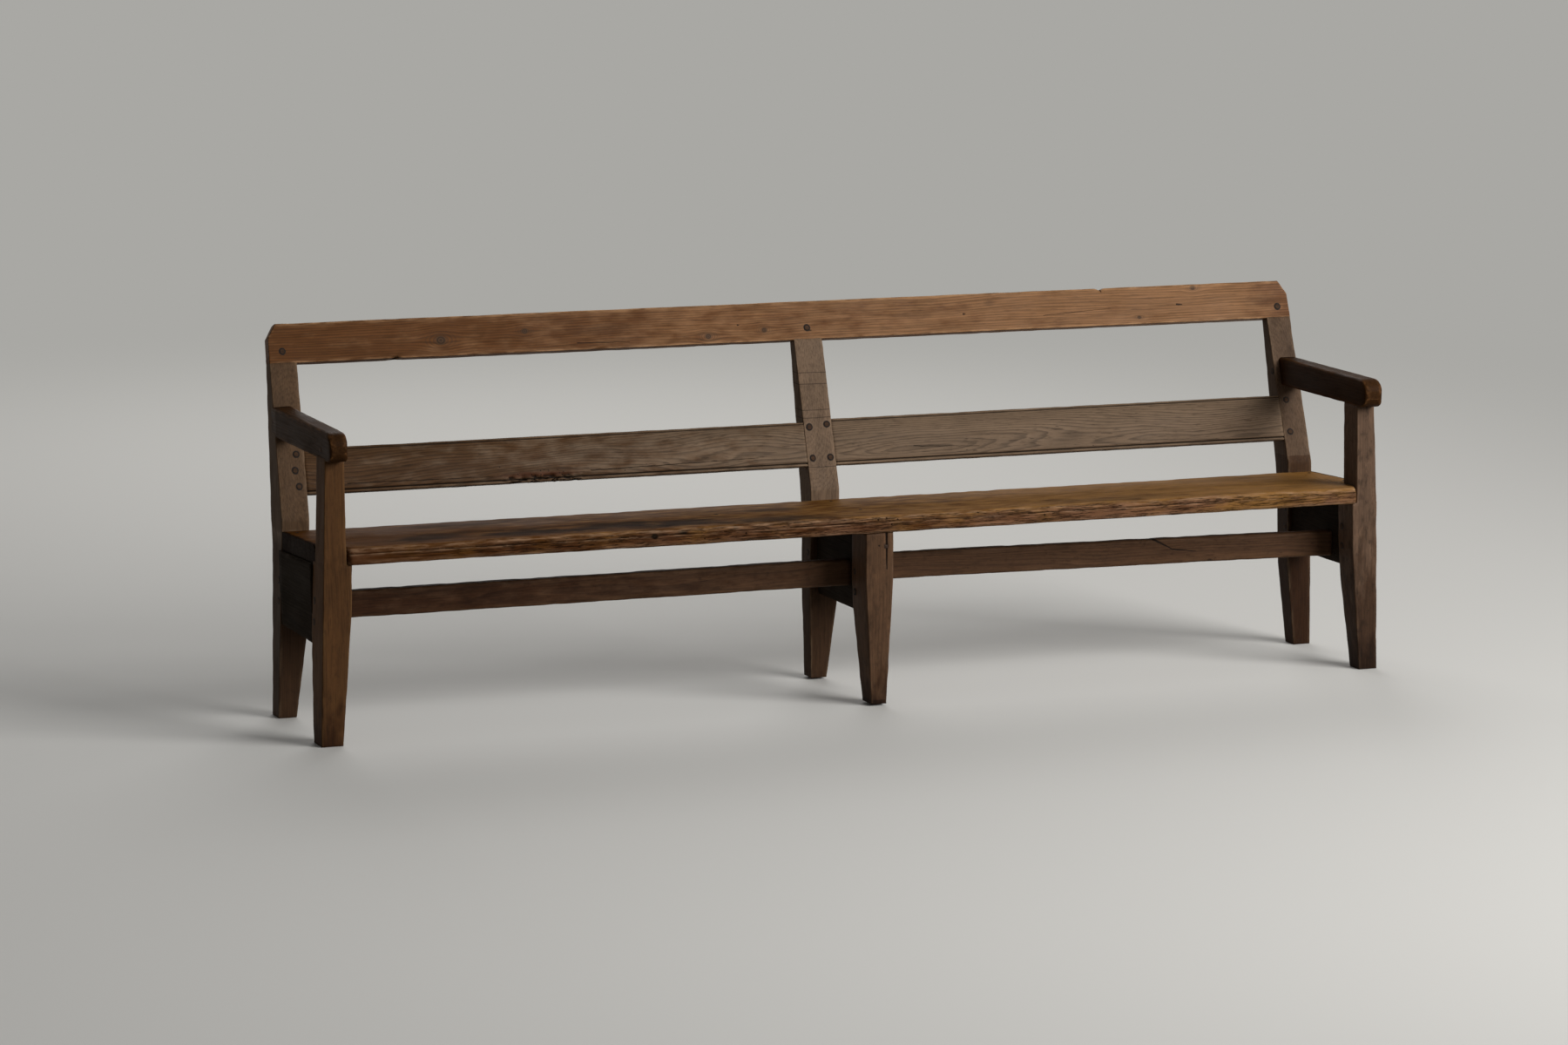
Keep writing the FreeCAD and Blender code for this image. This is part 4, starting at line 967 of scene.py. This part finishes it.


# %% [markdown]
# ## The finishes
#
# All of the frame is pine and most of the back is oak, but age has coloured each timber
# differently. The head rail is planed pine, waxed: orange-brown, with a low sheen and pale
# rubbed edges, whose paleness on the rounded top is also a painted highlight. The posts and the
# back rails are scrubbed pine and scrubbed oak: dry, greyer and matt, the oak with long dark
# pores. The seat is a sat-on pine plank: honey, dark stains, worn pale at the nose, where the
# pale edge is also a painted highlight. The arms are pine polished by hands: nearly black with a
# soft shine. The legs and stretchers are dry pine, dark with floor dirt, and the boards under
# the seat are hewn and never finished; their colour is darkened by painted shade from the seat.
# Wood this old and waxed mirrors very little, so its specular level is low.

# %% Finishes
# ring, warp and relief are in mm, gloss is a roughness, and the other numbers are amounts.
# The hollow colour is the painted shade and dirt in cracks, grooves and holes.
BASE = dict(ring=5.0, warp=26, uneven=0.9, figure=0.14, streak=0.5, tone=0.35, stained=0.25, mottle=0.12,
            pores=0.35, rub_and_highlight=0.35, dirt=0.3, gloss=0.55, relief=0.35, specular=0.1, hollow="#0f0a06")
FINISHES = {
    # The rail's pale rubbed edges are wear, and on its rounded top also a painted highlight.
    "red_pine": dict(BASE, base="#8b6340", stain="#3a2618", worn="#c79a70", ring=6.5, figure=0.16,
                     stained=0.12, gloss=0.46, tone=0.22, streak=0.6, mottle=0.1, rub_and_highlight=0.75, dirt=0.15),
    "pale_pine": dict(BASE, base="#77614d", stain="#352820", worn="#9c8368", ring=4.0, figure=0.07,
                      mottle=0.3),
    "grey_oak": dict(BASE, base="#78634f", stain="#2a1f16", worn="#a58b70", ring=4.4, warp=60, uneven=1.2,
                     figure=0.2, pores=0.5, streak=0.35, stained=0.12, relief=0.45, tone=0.3, dirt=0.2),
    # The plank's pale rubbed edges are wear, and along the nose also a painted highlight.
    "honey_plank": dict(BASE, base="#8b6334", stain="#20140b", worn="#c49f7e", ring=5.5, figure=0.08,
                        stained=0.3, rub_and_highlight=0.5, gloss=0.5, dirt=0.3, relief=0.5, mottle=0.2, pores=0.3,
                        specular=0.015, streak=0.4),
    "dark_pine": dict(BASE, base="#573d2a", stain="#1e130c", worn="#7f6248", rub_and_highlight=0.4, mottle=0.35,
                      dirt=0.45),
    "polished_arm": dict(BASE, base="#38220f", stain="#100a06", worn="#7a5230", rub_and_highlight=0.6, gloss=0.42,
                         relief=0.2, figure=0.08, specular=0.03, mottle=0.2),
    "orange_leg": dict(BASE, base="#593b20", stain="#20140c", worn="#86653f", figure=0.06, mottle=0.25,
                       rub_and_highlight=0.4),
    "mottled_leg": dict(BASE, base="#5d432f", stain="#1f1510", worn="#8c6e55", figure=0.06, mottle=0.45),
    "weathered_leg": dict(BASE, base="#664f3e", stain="#201612", worn="#8a6f59", figure=0.06, mottle=0.6,
                          dirt=0.5),
    # The boards' colour is darker than their wood: painted shade from the seat above them.
    "rough_board": dict(BASE, base="#281f16", stain="#120e0a", worn="#5c4a38", rub_and_highlight=0.3, gloss=0.65,
                        relief=0.6, figure=0.12, specular=0.03),
}
print(len(FINISHES), "finishes of wood")

# %% Timbers
# Of each timber: its finish, grain, pith, tilt, rake and seed.
TIMBERS = {
    "top_rail": ("red_pine", "x", (70, 120), (0.3, -0.5), RAKE, 0.0),
    "left_back_post": ("pale_pine", "z", (150, 1255), (0.6, 0.8), 0.0, 2.0),
    "middle_back_post": ("pale_pine", "z", (210, 30), (-0.8, 0.6), 0.0, 3.0),
    "right_back_post": ("pale_pine", "z", (120, -1240), (0.7, -0.6), 0.0, 4.0),
    "left_back_rail": ("grey_oak", "x", (80, 500), (0.5, 0.2), RAKE, 5.0),
    "right_back_rail": ("grey_oak", "x", (-70, 560), (-0.6, 0.3), RAKE, 6.0),
    "seat_plank": ("honey_plank", "x", (-60, 330), (0.3, 0.3), SEAT_TILT, 7.0),
    "left_stretcher": ("dark_pine", "x", (-40, 300), (0.6, 0.5), 0.0, 8.0),
    "right_stretcher": ("dark_pine", "x", (-140, 280), (-0.5, 0.4), 0.0, 9.0),
    "left_arm": ("polished_arm", "y", (1270, 620), (0.4, 0.4), 0.0, 10.0),
    "right_arm": ("polished_arm", "y", (-1300, 730), (0.5, -0.4), 0.0, 11.0),
    "left_front_leg": ("orange_leg", "z", (-180, 1270), (0.8, 0.5), 0.0, 12.0),
    "middle_front_leg": ("mottled_leg", "z", (-190, -60), (-0.6, 0.7), 0.0, 13.0),
    "right_front_leg": ("weathered_leg", "z", (-170, -1330), (0.5, -0.7), 0.0, 14.0),
    "left_cross_board": ("rough_board", "y", (1240, 260), (0.4, 0.6), 0.0, 15.0),
    "middle_cross_board": ("rough_board", "y", (-40, 330), (0.4, 0.4), 0.0, 16.0),
    "right_cross_board": ("rough_board", "y", (-1240, 290), (-0.4, 0.6), 0.0, 17.0),
}
# Of each knot: its place and radius in mm.
KNOTS = {"top_rail": ((-888, 230, 846, 13), (-682, 234, 857, 8), (-85, 226, 832, 7), (-228, 223, 824, 8),
                      (1053, 242, 881, 7), (899, 221, 817, 5)),
         "right_stretcher": ((932, -106, 275, 7),)}
print(len(TIMBERS), "timbers with", sum(len(rows) for rows in KNOTS.values()), "knots")

# %% [markdown]
# ## The marks of this bench
#
# What makes it this bench and no other are its marks: stains where people sat, worm in the left
# back rail, a split leg, lines that a carpenter scribed on the middle post. They stand in one
# table, at places in mm on the bench, so that a reader can move a mark or add one. Some tints in
# it are painted shade, not marks: the left ends darker, the posts under the seat and the seat's
# ends.

# %% Marks
# Places are x, y, z in mm. A tint has an axis, where it starts and is full, its colour and its
# amount; some tints are painted shade. A blot has a centre, a reach each way, an amount and maybe
# a colour of its own. A split has two places x, z and half its width. Worm has its cell, radius,
# centre and reach, and checks their centre, reach and amount. A scribed line has its height.
# Painted shade under the seat, with some dirt: the posts darker below the seat.
SHADE_AND_DIRT_UNDER_SEAT = ("z", 425, 395, "#8f7a66", 0.95)
NEAR_FLOOR = ("z", 110, 0, "#94826e", 0.9)
# Painted shade on the seat's two end faces.
SHADE_ON_SEAT_ENDS = ("#3c3024", 0.95)
HOLE = (1.0, "#0c0704")
SEAT_TOP = 445
# Stains on the seat's top: x, y, their reach both ways, and amount.
SEAT_STAINS = ((-1060, -150, 130, 70, 0.75), (-800, -165, 150, 60, 0.8), (-600, -150, 150, 75, 0.85),
               (-420, -160, 150, 65, 0.85), (-230, -185, 170, 50, 0.7), (-180, -24, 80, 34, 0.5),
               (-900, 40, 170, 60, 0.4), (250, -60, 110, 34, 0.4), (620, -190, 200, 36, 0.35))
MARKS = {
    "top_rail": {
        # The first tint is painted shade: the rail darker towards the left, where the light falls off.
        "tints_and_shade": [("x", 700, -1200, "#b9a178", 0.95), ("x", 1150, 1300, "#c4b4a4", 0.9)],
        "blots": [((499, 238, 870), (18, 40, 9), 0.35), ((300, 238, 850), (60, 40, 14), 0.25),
                  ((-500, 238, 850), (120, 40, 16), 0.3), ((1230, 238, 850), (50, 40, 16), 0.25)],
        "splits": [((796, 900), (800, 886), 3.5), ((1000, 848), (1014, 847), 2.2),
                   ((429, 848), (434, 848), 2.2), ((-156, 846), (-152, 846), 2.0),
                   ((25, 826), (31, 826), 1.6), ((-560, 822), (-430, 818), 0.9),
                   ((640, 836), (820, 846), 0.7)]},
    "left_back_post": {"tints_and_shade": [SHADE_AND_DIRT_UNDER_SEAT, ("z", 425, 440, "#c9bba9", 0.9)]},
    "middle_back_post": {"tints_and_shade": [SHADE_AND_DIRT_UNDER_SEAT], "scribed": (729, 703, 643, 625, 512),
                         "worm": [(9.0, 1.3, (0, 130, 510), (60, 90, 60))]},
    "right_back_post": {
        "tints_and_shade": [SHADE_AND_DIRT_UNDER_SEAT, ("z", 425, 440, "#c4bcb6", 0.9), ("z", 477, 474, "#b89c7c", 0.8)],
        "blots": [((1290, 160, 760), (20, 60, 40), 0.5)]},
    "left_back_rail": {
        # Painted shade: the rail darker towards the left, where the light falls off.
        "tints_and_shade": [("x", 100, -1200, "#b49a7c", 0.95)],
        "blots": [((-675, 130, 530), (110, 60, 9), 0.7, "#5c3119")],
        "worm": [(8.0, 1.6, (-675, 130, 530), (115, 60, 16)), (26.0, 1.3, (-600, 130, 540), (560, 60, 30))],
        "splits": [((-1150, 534), (-800, 531), 1.0), ((-560, 533), (-140, 540), 1.0)]},
    "right_back_rail": {"worm": [(24.0, 1.3, (600, 130, 536), (560, 60, 22))],
                        "splits": [((260, 548), (430, 540), 0.9)]},
    "left_front_leg": {"tints_and_shade": [NEAR_FLOOR]},
    "middle_front_leg": {"tints_and_shade": [NEAR_FLOOR, ("z", 16, 14, "#8a7a6a", 0.8)],
                         "splits": [((36, 406), (37, 322), 3.0), ((18.2, 377), (18.4, 376), 2.4)],
                         "blots": [((35.6, -236, 376), (7, 20, 9), 0.7)]},
    "right_front_leg": {"tints_and_shade": [NEAR_FLOOR, ("z", 400, 150, "#a39484", 0.9)]},
    # Painted shade: the stretcher darker towards the left, where the light falls off.
    "left_stretcher": {"tints_and_shade": [("x", 0, -1250, "#b4a08c", 0.95)]},
    "right_stretcher": {"splits": [((783, 328), (834, 301), 2.8), ((834, 301), (896, 293), 1.8)]},
    "seat_plank": {
        # The first tint is painted shade: the plank darker towards the left, where the light falls off.
        "tints_and_shade": [("x", 1100, -1200, "#998160", 0.95), ("x", -1302, -1312, *SHADE_ON_SEAT_ENDS),
                   ("x", 1302, 1312, *SHADE_ON_SEAT_ENDS)],
        "blots": [((0, -250, 425), (3000, 16, 200), 0.8, "#785440"),
                  *(((x, y, SEAT_TOP), (long, deep, 60), amount) for x, y, long, deep, amount in SEAT_STAINS),
                  ((-537, -242, 432), (7, 30, 5), *HOLE), ((-467, -242, 438), (13, 30, 5), *HOLE),
                  ((-338, -242, 441), (8, 30, 4), *HOLE), ((-315, -48, SEAT_TOP), (5, 8, 30), *HOLE)],
        "worm": [(24.0, 2.6, (100, -242, 430), (900, 40, 30))],
        "checks": [((200, -244, 428), (1500, 16, 40), 0.85)]},
}
print(sum(len(rows) for marks in MARKS.values() for rows in marks.values()), "marks")

# %% Dress the timbers
for node, piece in pieces.items():
    finish, grain, pith, tilt, rake, seed = TIMBERS[node]
    knots = [(x, z * math.cos(rake) + y * math.sin(rake), r) for x, y, z, r in KNOTS.get(node, ())]
    piece.data.materials.append(
        wood(f"{finish}, {node}", FINISHES[finish], grain, pith, tilt, rake, knots, seed, MARKS.get(node)))
    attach(piece, "root")
    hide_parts(node)
print(len(pieces), "timbers,", sum(len(piece.data.polygons) for piece in pieces.values()), "faces")

# %% [markdown]
# ## Riven pegs
#
# Pegs hold every joint. They were split from oak, not turned, so their heads are uneven
# octagons that stand a hair proud, in a dark gap; the gap is a dark ring, painted shade with
# its dirt. One Geometry Nodes tree makes them all: it puts a peg on each point of a small cloud,
# turns it at random and dents it with noise.

# %% Peg tree
PEG_SUNK, GAP_UNDER = 0.004, 0.00205     # m below the wood: the head's foot, the gap's middle
HEAD_TOP = 0.88                          # the top's radius as a share of the foot's
DENT, DENTS_PER_M = 0.0012, 180.0
SIZE_FROM, SIZE_TO = (0.9, 0.9, 0.9), (1.06, 1.06, 1.0)
peg_wood = wood("riven oak end grain", dict(FINISHES["pale_pine"], base="#493322", ring=2.0, mottle=0.4),
                "x", (0, 0), seed=20.0)


def peg_tree():
    """A tree that puts a peg head on each point, along the point's own axis."""
    tree = bpy.data.node_groups.new("riven pegs", "GeometryNodeTree")
    for name, kind in (("Points", "Geometry"), ("Radius", "Float"), ("Proud", "Float"), ("Gap", "Float"),
                       ("Seed", "Int")):
        tree.interface.new_socket(name, in_out="INPUT", socket_type="NodeSocket" + kind)
    tree.interface.new_socket("Pegs", in_out="OUTPUT", socket_type="NodeSocketGeometry")
    given = add(tree, "NodeGroupInput").outputs
    deep = add(tree, MATH, (given["Proud"], PEG_SUNK), 0, operation="ADD")
    top = add(tree, MATH, (given["Radius"], HEAD_TOP), 0, operation="MULTIPLY")
    head = add(tree, "GeometryNodeMeshCone", {"Vertices": 8, "Radius Top": top, "Depth": deep,
                                              "Radius Bottom": given["Radius"], "Side Segments": 3}, "Mesh")
    wide = add(tree, MATH, (given["Radius"], given["Gap"]), 0, operation="ADD")
    # The ring is the gap round the head, painted dark: its shade and dirt.
    ring = add(tree, "GeometryNodeMeshCylinder", {"Vertices": 16, "Radius": wide, "Depth": PEG_SUNK}, "Mesh")
    both = add(tree, "GeometryNodeJoinGeometry")
    for shape, down, finish in ((head, PEG_SUNK, peg_wood), (ring, GAP_UNDER, gap_dirt_and_shade)):
        shape = add(tree, "GeometryNodeTransform", {"Geometry": shape, "Translation": (0, 0, -down)}, 0)
        shape = add(tree, "GeometryNodeSetMaterial", {"Geometry": shape, "Material": finish}, 0)
        tree.links.new(shape, both.inputs[0])
    axis = add(tree, "GeometryNodeInputNamedAttribute", {"Name": "axis"}, 0, data_type="FLOAT_VECTOR")
    stand = add(tree, "FunctionNodeAlignRotationToVector", {"Vector": axis}, 0, axis="Z")
    spin = add(tree, "FunctionNodeRandomValue", {"Min": 0.0, "Max": 6.28, "Seed": given["Seed"]}, "Value",
               data_type="FLOAT")
    spun = add(tree, "FunctionNodeAxisAngleToRotation", {"Axis": (0, 0, 1), "Angle": spin}, 0)
    spun = add(tree, "FunctionNodeRotateRotation", (stand, spun), 0, rotation_space="LOCAL")
    size = add(tree, "FunctionNodeRandomValue", {"Min": SIZE_FROM, "Max": SIZE_TO, "Seed": given["Seed"]},
               "Value", data_type="FLOAT_VECTOR")
    laid = add(tree, "GeometryNodeInstanceOnPoints", {"Points": given["Points"], "Rotation": spun,
                                                      "Instance": both.outputs[0], "Scale": size}, 0)
    real = add(tree, "GeometryNodeRealizeInstances", {"Geometry": laid}, 0)
    place = add(tree, "GeometryNodeInputPosition", out=0)
    dents = add(tree, "ShaderNodeTexNoise", {"Vector": place, "Scale": DENTS_PER_M, "Detail": 1.0}, "Color")
    offset = add(tree, VECTOR, (dents, (0.5,) * 3), 0, operation="SUBTRACT")
    offset = add(tree, VECTOR, (offset, (DENT,) * 3), 0, operation="MULTIPLY")
    done = add(tree, "GeometryNodeSetPosition", {"Geometry": real, "Offset": offset}, 0)
    add(tree, "NodeGroupOutput", {"Pegs": done})
    return tree


# %% Points for the pegs
def islands(node):
    """The separate solids of a CAD node, each as its points in metres, in a fixed order.

    Each peg's turn is drawn by its number, so the order has to be the same in every run.
    """
    form = bmesh.new()
    form.from_mesh(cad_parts[node].data)
    bmesh.ops.remove_doubles(form, verts=form.verts, dist=1e-6)
    todo, found = set(form.verts), []
    for first in form.verts:
        stack, island = [first] if first in todo else [], []
        todo.discard(first)
        while stack:
            point = stack.pop()
            island.append(point.co.copy())
            for edge in point.link_edges:
                other = edge.other_vert(point)
                if other in todo:
                    todo.discard(other)
                    stack.append(other)
        if island:
            found.append(island)
    form.free()
    return sorted(found, key=lambda island: [round(sum(c) / len(island), 2) for c in zip(*island)])


def grown(name, tree, points, axes, values):
    """Run a tree on a cloud of points with axes, and keep the result as a plain mesh."""
    cloud = bpy.data.meshes.new(name)
    cloud.from_pydata([tuple(p) for p in points], [], [])
    held = cloud.attributes.new("axis", "FLOAT_VECTOR", "POINT")
    held.data.foreach_set("vector", [c for a in axes for c in a])
    maker = bpy.data.objects.new(name, cloud)
    bpy.context.scene.collection.objects.link(maker)
    modifier = maker.modifiers.new("grow", "NODES")
    modifier.node_group = tree
    names = {item.name: item.identifier for item in tree.interface.items_tree if item.in_out == "INPUT"}
    for key, value in values.items():
        modifier[names[key]] = value
    mesh = bpy.data.meshes.new_from_object(maker.evaluated_get(bpy.context.evaluated_depsgraph_get()))
    maker.modifiers.clear()
    maker.data = mesh
    return maker


# %% Lay the pegs
PROUD, PEG_GAP = 1.0, 2.5            # mm
HEAD_WIDE = 1.04                     # the head's radius as a share of the hole's
OUT_OF_BACK = (0, -math.cos(RAKE), math.sin(RAKE))
PEG_NODES = dict.fromkeys(("top_rail_pegs", "left_post_pegs", "middle_post_pegs", "right_post_pegs"),
                          OUT_OF_BACK)
PEG_NODES |= dict.fromkeys(("left_frame_pegs", "middle_frame_pegs", "right_frame_pegs", "left_arm_pegs",
                            "right_arm_pegs"), (1, 0, 0))
tree = peg_tree()
for seed, (node, axis) in enumerate(PEG_NODES.items()):
    points, axes, way = [], [], Vector(axis)
    for island in islands(node):
        centre = sum(island, Vector()) / len(island)
        middle, reach = centre.dot(way), [point.dot(way) for point in island]
        radius = max((p - centre - way * (p.dot(way) - middle)).length for p in island)
        points.append(centre + way * (max(reach) - middle - PROUD * MM))
        axes.append(axis)
        if axis[0]:
            points.append(centre - way * (middle - min(reach) - PROUD * MM))
            axes.append([-c for c in axis])
    heads = grown(node + "_wood", tree, points, axes, {"Radius": radius * HEAD_WIDE, "Seed": seed,
                                                       "Proud": PROUD * MM * 0.9, "Gap": PEG_GAP * MM})
    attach(heads, "root")
    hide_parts(node)
    print(node, len(points), "heads, radius", round(radius / MM, 1), "mm")

# %% [markdown]
# ## The nails
#
# Six forged nails hold the plank down, and a later one sits in the split leg. The CAD's nails
# are small and exact, so they keep their own meshes and only get their finish.

# %% Nails
for node in ("seat_nails", "middle_leg_nail"):
    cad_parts[node].data.materials.clear()
    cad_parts[node].data.materials.append(forged)
    print(node, "of", forged.name)

# %% [markdown]
# ## Floor and light
#
# A wide pale floor and a room of the same tone keep the background plain from every side. The
# floor is lit plaster near the bench, where it keeps the shadow, and passes into the room's own
# tone further out. That tone shows to the camera and in reflections only, so it throws no light
# on the bench. One large soft lamp stands to the right in front, and a weaker one behind lights
# the back. The room is dim on the left and lighter on the big lamp's side, so the left faces
# stay dark. The level is set so that a colour comes out about as it is written.

# %% Stage
FLOOR_HALF, LIT_TO, ROOM_FROM = 60, 2.4, 7.5     # m
ROOM_TONE, FLOOR_SEEN, FLOOR_THROWS = "#a9a8a4", "#d6d4cf", "#8f8d89"
DIM_SIDE, BRIGHT_SIDE, ROOM_LIGHT = 0.05, 0.4, "#e8e8e8"


def seen(tree):
    """1 for what the camera sees, also in gloss or through glass, and 0 for light on its way."""
    path = add(tree, "ShaderNodeLightPath").outputs
    direct = add(tree, MATH, (path["Is Camera Ray"], path["Is Glossy Ray"]), 0, operation="MAXIMUM")
    return add(tree, MATH, (direct, path["Is Transmission Ray"]), 0, operation="MAXIMUM")


stage_mesh = bpy.data.meshes.new("stage")
stage_mesh.from_pydata([(x * FLOOR_HALF, y * FLOOR_HALF, 0) for x, y in ((-1, -1), (1, -1), (1, 1), (-1, 1))],
                       [], [(0, 1, 2, 3)])
stage = bpy.data.objects.new("stage", stage_mesh)
bpy.context.scene.collection.objects.link(stage)
plaster = plain("pale plaster", "#cdcbc6", 0.8)
tree = plaster.node_tree
shader = tree.nodes["Principled BSDF"]
pale = add(tree, MIX, {"Factor": seen(tree), "A": rgb(FLOOR_THROWS), "B": rgb(FLOOR_SEEN)}, "Result",
           data_type="RGBA")
tree.links.new(pale, shader.inputs["Base Color"])
place = add(tree, "ShaderNodeTexCoord", out="Object")
far = add(tree, VECTOR, (place,), "Value", operation="LENGTH")
far = add(tree, RANGE, (far, LIT_TO, ROOM_FROM), 0, **SOFT)
glow = add(tree, "ShaderNodeEmission", {"Color": rgb(ROOM_TONE), "Strength": seen(tree)}, 0)
floor_mix = add(tree, "ShaderNodeMixShader", (far, shader.outputs[0], glow), 0)
tree.links.new(floor_mix, tree.nodes["Material Output"].inputs["Surface"])
stage_mesh.materials.append(plaster)
stage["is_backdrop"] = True
print("floor", 2 * FLOOR_HALF, "m wide, lit plaster to", LIT_TO, "m")

# %% Light
def lamp(name, place, aim, size, power):
    """A soft rectangular lamp, in metres and watts."""
    data = bpy.data.lights.new(name, "AREA")
    data.shape, data.size, data.size_y, data.energy = "RECTANGLE", *size, power
    made = bpy.data.objects.new(name, data)
    bpy.context.scene.collection.objects.link(made)
    made.location = place
    made.rotation_euler = (Vector(aim) - Vector(place)).to_track_quat("-Z", "Y").to_euler()


lamp("front", (4.1, -5.2, 3.8), (0, 0, 0.4), (4.4, 3.4), 490)
lamp("behind", (1.5, 6.5, 4.2), (0, 0, 0.5), (5.0, 4.0), 190)
world = bpy.data.worlds.new("room")
bpy.context.scene.world = world
world.use_nodes = True
tree = world.node_tree
background = tree.nodes["Background"]
background.inputs["Color"].default_value = rgb(ROOM_LIGHT)
around = add(tree, "ShaderNodeTexCoord", out="Generated")
level = add(tree, RANGE, (add(tree, "ShaderNodeSeparateXYZ", (around,), "X"), -0.7, 0.9, DIM_SIDE,
                          BRIGHT_SIDE), 0)
tree.links.new(level, background.inputs["Strength"])
tone = add(tree, "ShaderNodeBackground", {"Color": rgb(ROOM_TONE), "Strength": 1.0}, 0)
room_mix = add(tree, "ShaderNodeMixShader", (seen(tree), background.outputs[0], tone), 0)
tree.links.new(room_mix, tree.nodes["World Output"].inputs["Surface"])
print("two lamps, and a room from", DIM_SIDE, "to", BRIGHT_SIDE)

# %% [markdown]
# ## The box of the dressed bench
#
# The wear only takes wood away, so the dressed bench has to lie inside the CAD's box, apart from
# the pegs that stand a hair proud. The dressed bench's box is printed here.

# %% Finish
low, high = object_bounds()
print("visual box:", [round(c, 4) for c in low], [round(c, 4) for c in high])
